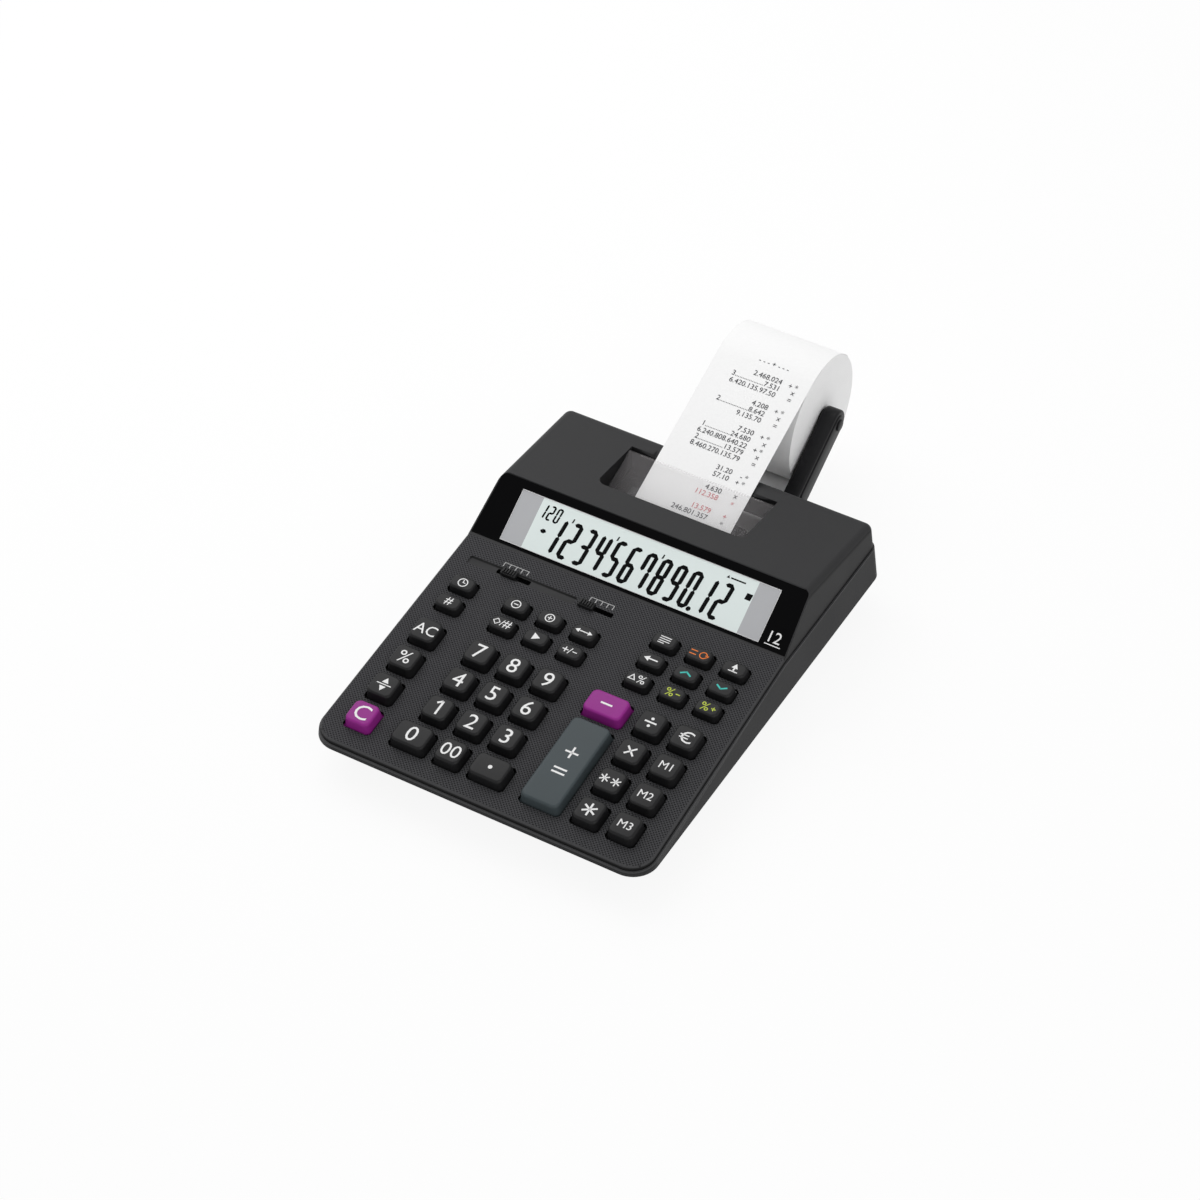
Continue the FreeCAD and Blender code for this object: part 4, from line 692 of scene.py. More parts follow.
class CALCULATOR_OT_case(bpy.types.Operator):
    """Finishes the moulded case, its panel and its feet"""

    bl_idname = "calculator.case"
    bl_label = "Case"

    def execute(self, context):
        sizes = context.scene.calculator_sizes
        self.shell("upper_case", self.deck_finish(sizes))
        self.shell("lower_case", self.rim_finish(sizes))
        self.shell("display_panel", self.panel_finish())
        self.feet(sizes)
        return {"FINISHED"}

    def shell(self, node, finish):
        """A copy of a case part whose roundings are smooth and whose flat faces stay flat to the eye."""
        made = piece(f"{node}_moulding", merged_copy(node), [finish], "root", [node], sharp=CASE_SHARP)
        even = made.modifiers.new("even_shading", "WEIGHTED_NORMAL")
        even.keep_sharp = True
        even.weight = 100

    def seam_height(self, finish, y, sizes):
        """Height of the joint between the two cases at a depth: beside the deck it slopes with it."""
        beside = (y - FRONT) * math.tan(sizes.deck_tilt) + (sizes.deck_height - sizes.seam_drop)
        return finish.reckon("MINIMUM", beside, sizes.seam_rear)

    def deck_finish(self, sizes):
        """The upper case: dimpled deck with painted shade in its dimples, a painted highlight along its edge,
        painted shade in its openings and in the groove over the joint, a plain roof, and walls darker as
        painted shade.
        """
        finish = Finish("deck_plastic", Specular_IOR_Level=0.12)
        x, y, z = [finish.axis(finish.place(), letter) for letter in "XYZ"]
        normal = finish.node("ShaderNodeTexCoord", output="Normal")
        up, back = finish.axis(normal, "Z"), finish.axis(normal, "Y")
        cos, sin = math.cos(sizes.deck_tilt), math.sin(sizes.deck_tilt)
        along = (y - FRONT) * cos + (z - sizes.deck_height) * sin
        above = (z - sizes.deck_height) * cos - (y - FRONT) * sin
        facing = up * cos - back * sin
        before_slope = along < sizes.deck_end
        inner = (x > CAD_BOX[0].x + sizes.deck_edge) * (x < CAD_BOX[1].x - sizes.deck_edge)
        behind_edge = along > sizes.deck_edge
        in_plane = (above > -sizes.deck_skin) * (above < sizes.deck_skin)
        on_deck = in_plane * (facing > DECK_FACING) * before_slope
        hollow = finish.wave(x, sizes.dimple_pitch) * finish.wave(along, sizes.dimple_pitch)
        dimple = (hollow > 0.0) * hollow * on_deck
        # Painted shade on the walls of the deck's openings
        opening_shade = inner * behind_edge * before_slope * (above < -sizes.wall_drop) * (facing < OPENING_FACING)
        rear = sizes.switch_line + sizes.switch_groove / 2
        in_shadow = (along > rear - sizes.switch_shadow) * (along < rear)
        # Painted shade in the openings and along the finger groove's rear edge
        dark = finish.reckon("MAXIMUM", opening_shade, inner * (above < -sizes.switch_floor) * in_shadow)
        border = (1 - inner * behind_edge) * before_slope
        # Painted highlight along the deck's outer rounding
        edge_highlight = border * (above < -sizes.worn_drop) * (above > -sizes.worn_edge)
        # Painted shade in the groove over the joint of the cases
        groove_shade = z - self.seam_height(finish, y, sizes) < sizes.seam_groove
        drift, grain = drift_and_grain(finish)
        # Painted shade in the dimples: their hollows are drawn darker than the deck
        dimple_shaded = finish.mix(dimple * DIMPLE_CONTRAST, tone("deck", DECK_TONE), tone("deck", DIMPLE_SHADE_TONE))
        toned = finish.mix(drift, tone("case", CASE_DARK), tone("case", CASE_LIGHT))
        # Painted shade: faces that stand upright are drawn darker
        toned = finish.mix(up < UPRIGHT_FACING, toned, tone("case", UPRIGHT_SHADE_TONE))
        toned = finish.mix(on_deck, toned, dimple_shaded)
        # Painted shade in the openings and the finger groove
        toned = finish.mix(dark, toned, tone("case", SHADOW_TONE))
        toned = finish.mix(edge_highlight, toned, tone("case", HIGHLIGHT_TONE))
        toned = finish.mix(groove_shade, toned, tone("case", SHADOW_TONE))
        rough = uneven_gloss(drift, grain, roughness=0.48, grain_gloss=DECK_GRAIN_GLOSS)
        return finish.surface(Base_Color=toned, Roughness=rough + dimple * DIMPLE_GLOSS,
                              Normal=finish.bump(grain * DECK_GRAIN - dimple, sizes.dimple_depth))

    def rim_finish(self, sizes):
        """The lower case, drawn darker as painted shade on its walls, with a painted highlight along its rim
        at the joint.
        """
        finish = Finish("case_plastic", Specular_IOR_Level=0.1)
        y, z = [finish.axis(finish.place(), letter) for letter in "YZ"]
        drift, grain = drift_and_grain(finish)
        # The lower case is drawn darker than the case's colour, as painted shade on its walls, with a slow
        # drift between the two tones
        toned = finish.mix(drift, tone("case", TRAY_SHADE_DARK), tone("case", TRAY_SHADE_LIGHT))
        # Painted highlight along the lower case's top edge, at the joint
        rim = z - self.seam_height(finish, y, sizes) > -sizes.seam_rim
        return finish.surface(Base_Color=finish.mix(rim, toned, tone("case", RIM_HIGHLIGHT_TONE)),
                              Roughness=uneven_gloss(drift, grain, roughness=0.5),
                              Normal=finish.bump(grain, sizes.grain_depth))

    def panel_finish(self):
        """Gloss black with a little haze."""
        finish = Finish("panel_gloss", Specular_IOR_Level=0.04)
        haze = finish.noise(scale=60.0)
        toned = finish.mix(haze, tone("panel", 0.7), tone("panel", 1.3))
        return finish.surface(Base_Color=toned, Roughness=haze * 0.06 + 0.07)

    def feet(self, sizes):
        """Round feet with a round edge and a hollow sole."""
        low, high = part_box("rubber_feet")
        radius = sizes.foot_radius
        bm = bmesh.new()
        for x in (low.x + radius, high.x - radius):
            for y in (low.y + radius, high.y - radius):
                foot = bmesh.new()
                post(foot, Matrix.Translation((x, y, (low.z + high.z) / 2)), radius, high.z - low.z, sides=40)
                sole = min(foot.faces, key=lambda face: face.calc_center_median().z)
                rounded(foot, list(sole.edges), sizes.foot_edge, segments=3)
                sole = min(foot.faces, key=lambda face: face.calc_center_median().z)
                bmesh.ops.inset_region(foot, faces=[sole], thickness=sizes.foot_rim, depth=-sizes.foot_hollow)
                join(bm, foot)
        rubber = moulded("foot_rubber", tone("rubber"), roughness=0.75, scale=1800.0, depth=0.05 * MM)
        piece("feet", bm, [rubber], "root", ["rubber_feet"])


# Largest corner of a shallow key, as a share of half its depth

KEY_CORNER_SHARE = 0.62


class CALCULATOR_OT_keys(bpy.types.Operator):
    """Models the key caps with their marks"""

    bl_idname = "calculator.keys"
    bl_label = "Keys"

    def execute(self, context):
        sizes = context.scene.calculator_sizes
        fine = {"scale": 3200.0, "depth": 0.012 * MM}
        black = moulded("key_black", tone("key"), roughness=0.38, **fine)
        purple = moulded("key_purple", tone("purple"), roughness=0.36, **fine)
        slate = moulded("key_slate", tone("slate"), roughness=0.38, **fine)
        tinted = {"key_clear": purple, "key_minus": purple, "key_plus": slate}
        inks = {name: ink(f"key_{name}", tone(name)) for name in ("ink", "orange", "teal", "lime")}
        for node, marks in key_marks(sizes).items():
            self.key(node, marks, sizes, [tinted.get(node, black), inks[MARK_INKS.get(node, "ink")]])
        return {"FINISHED"}

    def key(self, node, marks, sizes, finishes):
        """Cap, flange and stem in the deck's axes, then the marks on the cap."""
        low, high = deck_box(node)
        middle = (low + high) / 2
        foot = low.z + sizes.key_stem
        half = (high - low) / 2 - Vector((sizes.key_lip, sizes.key_lip, 0))
        stem = Vector((sizes.key_stem_side, sizes.key_stem_side, 0)) / 2
        bm = bmesh.new()
        self.cap(bm, middle, half, foot, high.z, sizes)
        box(bm, level(low, foot), level(high, foot + sizes.key_flange), HERE, sizes.key_flange_edge)
        box(bm, level(middle - stem, low.z), level(middle + stem, foot), HERE, sizes.stem_edge)
        bm.transform(place_on_deck(0, 0, 0))
        printed = marks.placed(place_on_deck(middle.x, middle.y, high.z + sizes.ink_height))
        for face in printed.faces:
            face.material_index = 1
        join(bm, printed)
        piece(node.replace("key_", "keycap_"), bm, finishes, node, [node], sharp=KEY_SHARP)

    def cap(self, bm, middle, half, foot, top, sizes):
        """Tapered cap with round corners and a round top edge."""
        box(bm, level(middle - half, foot), level(middle + half, top), HERE)
        lean = (top - foot) * math.tan(sizes.key_taper)
        crown = [vert for vert in bm.verts if vert.co.z > (top + foot) / 2]
        draw_in = Matrix.Diagonal((1 - lean / half.x, 1 - lean / half.y, 1, 1))
        bmesh.ops.transform(bm, matrix=draw_in, space=Matrix.Translation(-level(middle, 0)), verts=crown)
        uprights = [edge for edge in bm.edges
                    if abs(edge.verts[0].co.z - edge.verts[1].co.z) > (top - foot) / 2]
        rounded(bm, uprights, min(sizes.key_corner, half.y * KEY_CORNER_SHARE), segments=7)
        face = max(bm.faces, key=lambda f: f.calc_center_median().z)
        rounded(bm, list(face.edges), sizes.key_edge, segments=5)


# Print on the deck, in millimetres across and along it; each scale has its first tick and its step

SCALE_TICKS = 5
SCALES = ((-66.0, 3.6), (-14.0, 3.4))
TICK_WIDTH, TICK_LENGTH, TICK_LINE = 0.5, 2.6, 141.2
RAIL_WIDTH, RAIL_LINE = 0.4, 142.7
ARROW_LINES = (53.0, 78.8)
ARROW_LINE_LENGTH, ARROW_LINE_PLACE = 7.0, 121.6

# Width of a knob's rib, as a share of the step from rib to rib

RIB_SHARE = 0.64


class CALCULATOR_OT_switches(bpy.types.Operator):
    """Models the ribbed slide knobs and prints the deck's ticks and lines"""

    bl_idname = "calculator.switches"
    bl_label = "Slide switches"

    def execute(self, context):
        sizes = context.scene.calculator_sizes
        satin = moulded("knob_plastic", tone("key"), roughness=0.45)
        for side in ("left", "right"):
            self.knob(f"switch_knob_{side}", f"{side}_switch", sizes, satin)
        self.ticks(sizes)
        return {"FINISHED"}

    def ticks(self, sizes):
        """Scale ticks behind each knob, and the thin lines over the two arrow keys."""
        marks = Marks()
        for start, step in SCALES:
            length = (SCALE_TICKS - 1) * step
            for number in range(SCALE_TICKS):
                marks.bar(TICK_WIDTH, TICK_LENGTH, start + number * step, TICK_LINE)
            marks.bar(length + TICK_WIDTH, RAIL_WIDTH, start + length / 2, RAIL_LINE)
        for x in ARROW_LINES:
            marks.bar(ARROW_LINE_LENGTH, RAIL_WIDTH, x, ARROW_LINE_PLACE)
        grey = ink("tick_grey", tone("ink", 0.45))
        piece("deck_ticks", marks.placed(place_on_deck(0, 0, sizes.ink_height)), [grey], "root")

    def knob(self, node, body, sizes, finish):
        """Plate with ribs, stem and foot plate, in the deck's axes."""
        deck = place_on_deck(0, 0, 0)
        low, high = deck_box(node)
        middle = (low + high) / 2
        top = high.z - sizes.knob_rise
        pitch = (high.x - low.x - 2 * sizes.knob_margin) / sizes.knob_ribs
        stem = Vector((sizes.knob_stem_width, sizes.knob_stem_depth, 0)) / 2
        rib = Vector((RIB_SHARE * pitch, high.y - low.y - 2 * sizes.knob_edge, 0)) / 2
        bm = bmesh.new()
        box(bm, level(low, -sizes.knob_plate), level(high, top), deck, sizes.knob_edge, segments=3)
        for number in range(sizes.knob_ribs):
            at = Vector((low.x + sizes.knob_margin + (number + 0.5) * pitch, middle.y, 0))
            box(bm, level(at - rib, top - sizes.knob_root), level(at + rib, high.z), deck, sizes.rib_edge)
        box(bm, level(middle - stem, low.z), level(middle + stem, 0), deck)
        box(bm, low, level(high, low.z + sizes.knob_foot), deck, sizes.stem_edge)
        piece(f"{node}_ribbed", bm, [finish], body, [node])


# Segments of each figure; place of each across and up, and whether it is upright; overlap in strokes

SEGMENTS = {"0": "abcdef", "1": "bc", "2": "abged", "3": "abgcd", "4": "fgbc", "5": "afgcd", "6": "afgedc",
            "7": "fabc", "8": "abcdefg", "9": "abfgcd", "-": "g"}
SEGMENT_PLACES = {"a": (0, 1, 0), "b": (0.5, 0.5, 1), "c": (0.5, -0.5, 1), "d": (0, -1, 0),
                  "e": (-0.5, -0.5, 1), "f": (-0.5, 0.5, 1), "g": (0, 0, 0)}
SEGMENT_OVERLAP = 0.24

# Marks on the display and its panel, in millimetres across and along the slope

SHOWN, SHOWN_SMALL = "123456789012", "120"
SMALL_START, SMALL_PITCH, SMALL_BASE = -63.2, 4.3, 21.0
SMALL_WIDTH, SMALL_HEIGHT, SMALL_STROKE = 3.2, 8.6, 1.05
MINUS_PLACE, MINUS_WIDTH = -57.6, 5.4
THOUSANDS = (0, 3, 6)
THOUSANDS_OUTLINE = ((0, 0), (0.9, 0.4), (0.9, 2.6), (0.1, 2.6))
THOUSANDS_SHIFT = 1.2
COUNT, COUNT_PLACE, COUNT_BASE, COUNT_HEIGHT = "12", 84.6, 8.0, 6.0
COUNT_LINE_LENGTH, COUNT_LINE_WIDTH, COUNT_LINE_BASE = 9.0, 0.5, 3.6
TRIM_LENGTH, TRIM_HALF, TRIM_LOW, TRIM_HIGH = 154.0, 76.8, 2.9, 32.1
TRIM_TOP_WIDTH, TRIM_FOOT_WIDTH, TRIM_SIDE_WIDTH = 0.35, 0.25, 0.3


class CALCULATOR_OT_display(bpy.types.Operator):
    """Finishes the display glass and sets its digits"""

    bl_idname = "calculator.display"
    bl_label = "Display"

    def execute(self, context):
        sizes = context.scene.calculator_sizes
        self.glass(sizes)
        self.digits(sizes)
        self.panel_print(sizes)
        return {"FINISHED"}

    def glass(self, sizes):
        """Pale ground with a darker band at either side, under a clear coat."""
        finish = Finish("display_glass", Roughness=0.27, Coat_Weight=0.35, Coat_Roughness=0.05)
        x = finish.axis(finish.place(), "X")
        side = (x > sizes.band_right) + (x < sizes.band_left)
        cloud = finish.noise(scale=30.0)
        ground = finish.mix(cloud, tone("glass", 0.98), tone("glass"))
        band = finish.mix(cloud, tone("band", 0.95), tone("band", 1.02))
        dress("lcd_module", finish.surface(Base_Color=finish.mix(side, ground, band)))

    def digits(self, sizes):
        """The large and the small figures, the thousands marks, the point, a block and an arrow."""
        width, height, pitch, stroke, base, start = [
            value / MM for value in (sizes.segment_width, sizes.segment_height, sizes.segment_pitch,
                                     sizes.segment_stroke, sizes.segment_base, sizes.segment_start)]
        marks = Marks()
        for number, figure in enumerate(SHOWN):
            self.figure(marks, figure, start + number * pitch - width / 2, base, width, height, stroke)
        for number, figure in enumerate(SHOWN_SMALL):
            middle = SMALL_START + number * SMALL_PITCH
            self.figure(marks, figure, middle, SMALL_BASE, SMALL_WIDTH, SMALL_HEIGHT, SMALL_STROKE)
        self.figure(marks, "-", MINUS_PLACE, base, MINUS_WIDTH, height, stroke)
        for number in THOUSANDS:
            right = start + number * pitch
            marks.outline(THOUSANDS_OUTLINE, right + THOUSANDS_SHIFT, base + height - THOUSANDS_SHIFT)
        marks.disc(1.3, 34.8, 5.4).bar(3.4, 3.6, 60.2, 22.6)
        marks.disc(1.1, 45.0, 28.6, sides=3).bar(8.6, 0.8, 50.8, 28.6)
        lean = Matrix.Identity(4)
        lean[0][1] = math.tan(sizes.segment_slant)
        about = Matrix.Translation((0, sizes.segment_base, 0))
        on_glass = place_on_slope(sizes.ink_height - sizes.glass_depth)
        bm = marks.placed(on_glass @ about @ lean @ about.inverted())
        dark = ink("display_segment", tone("segment"), gloss=0.04)
        piece("display_digits", bm, [dark], "root")

    def figure(self, marks, figure, middle, base, width, height, stroke):
        """A seven-segment figure of pointed bars."""
        across, up = width - stroke, (height - stroke) / 2
        for letter in SEGMENTS[figure]:
            x, y, upright = SEGMENT_PLACES[letter]
            length = (up if upright else across) + SEGMENT_OVERLAP * stroke
            marks.dart(length, stroke, middle + x * across, base + height / 2 + y * up, 0 if upright else 90)

    def panel_print(self, sizes):
        """The count of digits on the panel, and the thin line round the display."""
        silver = ink("panel_silver", tone("ink"))
        marks = Marks().text(COUNT, COUNT_HEIGHT, COUNT_PLACE, COUNT_BASE)
        marks.bar(COUNT_LINE_LENGTH, COUNT_LINE_WIDTH, COUNT_PLACE, COUNT_LINE_BASE)
        on_panel = marks.placed(place_on_slope(sizes.ink_height))
        piece("panel_count", on_panel, [silver], "root")
        trim = Marks().bar(TRIM_LENGTH, TRIM_TOP_WIDTH, 0, TRIM_HIGH)
        trim.bar(TRIM_LENGTH, TRIM_FOOT_WIDTH, 0, TRIM_LOW)
        for x in (-TRIM_HALF, TRIM_HALF):
            trim.bar(TRIM_SIDE_WIDTH, TRIM_HIGH - TRIM_LOW, x, (TRIM_HIGH + TRIM_LOW) / 2)
        round_glass = trim.placed(place_on_slope(-sizes.trim_depth))
        piece("display_edge_line", round_glass, [silver], "root")


class CALCULATOR_OT_printer(bpy.types.Operator):
    """Models the smoked cover and finishes what lies inside the case"""

    bl_idname = "calculator.printer"
    bl_label = "Printer"

    def execute(self, context):
        self.cover(context.scene.calculator_sizes)
        rubber = {"roughness": 0.7, "scale": 2400.0, "depth": 0.05 * MM}
        # The printer frame's colour is its dark steel made darker as painted shade inside the case
        dress("printer_frame", moulded("frame_steel", tone("steel"), roughness=0.5, scale=900.0,
                                       depth=0.03 * MM, Metallic=0.3))
        dress("platen_roller", moulded("platen_rubber", tone("rubber"), **rubber))
        dress("main_board", moulded("board_green", tone("board"), roughness=0.4, scale=1200.0,
                                    depth=0.03 * MM))
        dress("dome_sheet", moulded("dome_rubber", tone("rubber", 1.5), **rubber))
        dress("batteries", moulded("cell_wrap", tone("wrap"), roughness=0.3, scale=1200.0))
        return {"FINISHED"}

    def cover(self, sizes):
        """The smoked cover, with the teeth of the tear edge along its rear; its pale colour stands partly for
        painted reflection.
        """
        finish = Finish("smoked_clear", Specular_IOR_Level=0.4)
        cloud = finish.noise(scale=50.0)
        # Painted reflection: the pale colour, seen faintly through the low alpha, stands partly for
        # reflection on the cover
        toned = finish.mix(cloud, tone("smoke", 0.9), tone("smoke", 1.1))
        finish.surface(Base_Color=toned, Roughness=cloud * 0.08 + 0.1, Alpha=cloud * 0.02 + 0.075)
        bm = merged_copy("printer_cover")
        low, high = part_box("printer_cover")
        lean = math.atan2(high.z - low.z, high.y - low.y)
        tilt = Matrix.Rotation(lean - math.pi / 2, 4, "X") @ Matrix.Rotation(math.pi / 4, 4, "Z")
        for tooth in range(sizes.tooth_count):
            x = (low.x + high.x) / 2 + (tooth - (sizes.tooth_count - 1) / 2) * sizes.tooth_pitch
            at = Matrix.Translation((x, high.y - sizes.tooth_inset, high.z - sizes.tooth_drop))
            post(bm, at @ tilt, sizes.tooth_foot, sizes.tooth_height, sides=4, tip=sizes.tooth_tip)
        piece("printer_cover_smoked", bm, [finish], "cover", ["printer_cover"])


# Number and sign of each printed row, from the printer to the roll

PRINT_ROWS = [("246.801.357", "*"), ("13.579", "+"), ("", ""), ("112.358", "*"), ("4.630", "x"), ("", ""),
              ("57.10", "+ *"), ("31.20", "- *"), ("", ""), ("8.460.270.135.79", "="),
              ("2................13.579", "x"), ("6.240.808.640.22", "+ *"), ("1................24.680", "x"),
              ("7.530", "+ *"), ("", ""), ("9.135.70", "="), ("2..................8.642", "x"),
              ("4.208", "+ *"), ("", ""), ("6.420.135.97.50", "="), ("3..................7.531", "x"),
              ("2.468.024", "+ *"), ("", ""), ("- - - + - - -", "")]
RED_ROWS = (1, 3)

# Steps of the paper's straight runs, of its turns round the platen and the roll, and of the roll itself

RUN_STEPS, WRAP_STEPS, OVER_STEPS, ROLL_STEPS = 14, 24, 28, 96


class CALCULATOR_OT_paper(bpy.types.Operator):
    """Models the paper roll, the tape and its print"""

    bl_idname = "calculator.paper"
    bl_label = "Paper"

    def execute(self, context):
        sizes = context.scene.calculator_sizes
        self.measure(sizes)
        self.roll(sizes)
        self.tape(sizes, self.paper_finish())
        self.print_rows(sizes)
        return {"FINISHED"}

    def paper_finish(self):
        """White paper with fine fibres."""
        finish = Finish("paper_white")
        fibre = finish.noise(scale=700.0, detail=5.0)
        toned = finish.mix(fibre, tone("paper", 0.94), tone("paper"))
        return finish.surface(Base_Color=toned, Roughness=fibre * 0.1 + 0.75,
                              Normal=finish.bump(fibre, distance=0.02 * MM))

    def measure(self, sizes):
        """Radii of the two circles that the paper runs round, and where it meets and leaves them."""
        self.roll_radius = (ROLL_HIGH.y - ROLL_LOW.y) / 2
        self.tape_radius = self.roll_radius + sizes.paper_gap
        self.wrap_radius = (PLATEN_HIGH.y - PLATEN_LOW.y) / 2 + sizes.paper_gap
        run = ROLL_AXIS - PLATEN_AXIS
        aim = math.atan2(run.z, run.y)
        spread = math.acos((self.wrap_radius - self.tape_radius) / math.hypot(run.y, run.z))
        self.under, self.over = aim - spread, aim + spread
        self.leave = self.on_circle(PLATEN_AXIS, self.wrap_radius, self.over)
        self.top = self.on_circle(ROLL_AXIS, self.tape_radius, self.over)

    def on_circle(self, axis, radius, angle):
        return Vector((axis.x, axis.y + radius * math.cos(angle), axis.z + radius * math.sin(angle)))

    def roll(self, sizes):
        """The wound roll, with the rings of its layers on its sides."""
        finish = Finish("paper_roll_sides")
        place = finish.node("ShaderNodeMapping", None, {"Vector": finish.place(), "Location": -ROLL_AXIS})
        y, z = finish.axis(place, "Y"), finish.axis(place, "Z")
        rings = finish.wave(finish.reckon("SQRT", y * y + z * z), sizes.roll_ring) * 0.5 + 0.5
        uneven = finish.noise(scale=160.0, place=place)
        toned = finish.mix(rings * uneven, tone("paper", 1.05), tone("paper", 0.95))
        finish.surface(Base_Color=toned, Roughness=uneven * 0.1 + 0.75,
                       Normal=finish.bump(rings, distance=0.03 * MM))
        bm = bmesh.new()
        half, edge = PAPER_WIDTH / 2, sizes.roll_edge
        bore, rim = sizes.roll_bore, self.roll_radius
        section = [(bore, -half), (rim - edge, -half), (rim, edge - half), (rim, half - edge),
                   (rim - edge, half), (bore, half)]
        verts = [bm.verts.new(ROLL_AXIS + Vector((x, radius, 0))) for radius, x in section]
        edges = [bm.edges.new(pair) for pair in zip(verts, verts[1:] + verts[:1])]
        bmesh.ops.spin(bm, geom=verts + edges, cent=ROLL_AXIS, axis=(1, 0, 0), angle=math.tau,
                       steps=ROLL_STEPS, use_merge=True)
        bmesh.ops.recalc_face_normals(bm, faces=bm.faces)
        piece("paper_roll_wound", bm, [finish], "roll", ["paper_roll"])

    def tape(self, sizes, paper):
        """The web from the roll to the platen, then the tape from there back over the roll."""
        unwound = self.on_circle(ROLL_AXIS, self.tape_radius, self.under)
        enter = self.on_circle(PLATEN_AXIS, self.wrap_radius, self.under)
        bm, edge = self.edge_at(unwound)
        self.straight(bm, edge, enter - unwound)
        self.sheet("tape_web", bm, sizes, paper, (enter, unwound))
        bm, edge = self.edge_at(enter)
        edge = self.turned(bm, edge, PLATEN_AXIS, self.over - self.under - math.tau, WRAP_STEPS)
        edge = self.straight(bm, edge, self.top - self.leave)
        self.turned(bm, edge, ROLL_AXIS, sizes.tape_end - self.over, OVER_STEPS)
        self.sheet("tape", bm, sizes, paper, (self.leave, self.top), ["paper_tape"])

    def edge_at(self, middle):
        """An edge as wide as the paper, in a bmesh of its own."""
        bm = bmesh.new()
        across = Vector((PAPER_WIDTH / 2, 0, 0))
        return bm, bm.edges.new([bm.verts.new(middle - across), bm.verts.new(middle + across)])

    def straight(self, bm, edge, run):
        """Draws the paper on in a straight run; gives its new end."""
        for step in range(RUN_STEPS):
            made = bmesh.ops.extrude_edge_only(bm, edges=[edge])["geom"]
            verts = [part for part in made if isinstance(part, bmesh.types.BMVert)]
            bmesh.ops.translate(bm, verts=verts, vec=run / RUN_STEPS)
            edge = bm.edges.get(verts)
        return edge

    def turned(self, bm, edge, axis, angle, steps):
        """Draws the paper on round an axis; gives its new end."""
        last = bmesh.ops.spin(bm, geom=list(edge.verts) + [edge], cent=axis, axis=(1, 0, 0), angle=angle,
                              steps=steps)["geom_last"]
        return [part for part in last if isinstance(part, bmesh.types.BMEdge)][0]

    def sheet(self, name, bm, sizes, paper, bends, nodes=()):
        """Gives the strip its thickness."""
        bmesh.ops.recalc_face_normals(bm, faces=bm.faces)
        length = sum(face.calc_area() for face in bm.faces) / PAPER_WIDTH
        bmesh.ops.solidify(bm, geom=bm.faces, thickness=sizes.paper_thickness)
        made = piece(name, bm, [paper], None, nodes)
        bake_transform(made)

    def tape_place(self, along, lift):
        """Where a point of the tape lies: along from the platen, lift above the paper's path."""
        run = self.top - self.leave
        if along < 0:
            return self.on_circle(PLATEN_AXIS, self.wrap_radius + lift, self.over - along / self.wrap_radius)
        if along <= run.length:
            out = Vector((0, math.cos(self.over), math.sin(self.over)))
            return self.leave + run.normalized() * along + out * lift
        angle = self.over - (along - run.length) / self.tape_radius
        return self.on_circle(ROLL_AXIS, self.tape_radius + lift, angle)

    def print_rows(self, sizes):
        """The printed rows, the red ones as a piece of their own."""
        grey = ink("tape_ink", tone("print_ink"))
        red = ink("tape_red_ink", tone("red_ink"))
        for name, finish, wanted in (("tape_print", grey, False), ("tape_print_red", red, True)):
            bm = bmesh.new()
            for row, (number, sign) in enumerate(PRINT_ROWS):
                if (row in RED_ROWS) == wanted:
                    along = sizes.print_start + row * sizes.print_step
                    self.printed(bm, number, sizes.print_right, along, sizes)
                    self.printed(bm, sign, sizes.print_sign, along, sizes)
            made = piece(name, bm, [finish], None)
            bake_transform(made)

    def printed(self, bm, words, right, along, sizes):
        """A run of letters laid on the paper, its right end at a place across it."""
        if not words:
            return
        lift = sizes.paper_thickness + sizes.ink_height
        mesh = lettering(words, sizes.print_height)
        end = max(vert.co.x for vert in mesh.vertices)
        for vert in mesh.vertices:
            spot = self.tape_place(along + vert.co.y, lift)
            vert.co = (ROLL_AXIS.x + right - end + vert.co.x, spot.y, spot.z)
        bm.from_mesh(mesh)
        bpy.data.meshes.remove(mesh)


# Foot of the raised strip, clear of the lugs, as a share of the way from an arm's pivot to the roll's axis

STRIP_START = 0.3

# Sides of the arms' round ends and of their pins

ARM_SIDES, PIN_SIDES = 48, 36


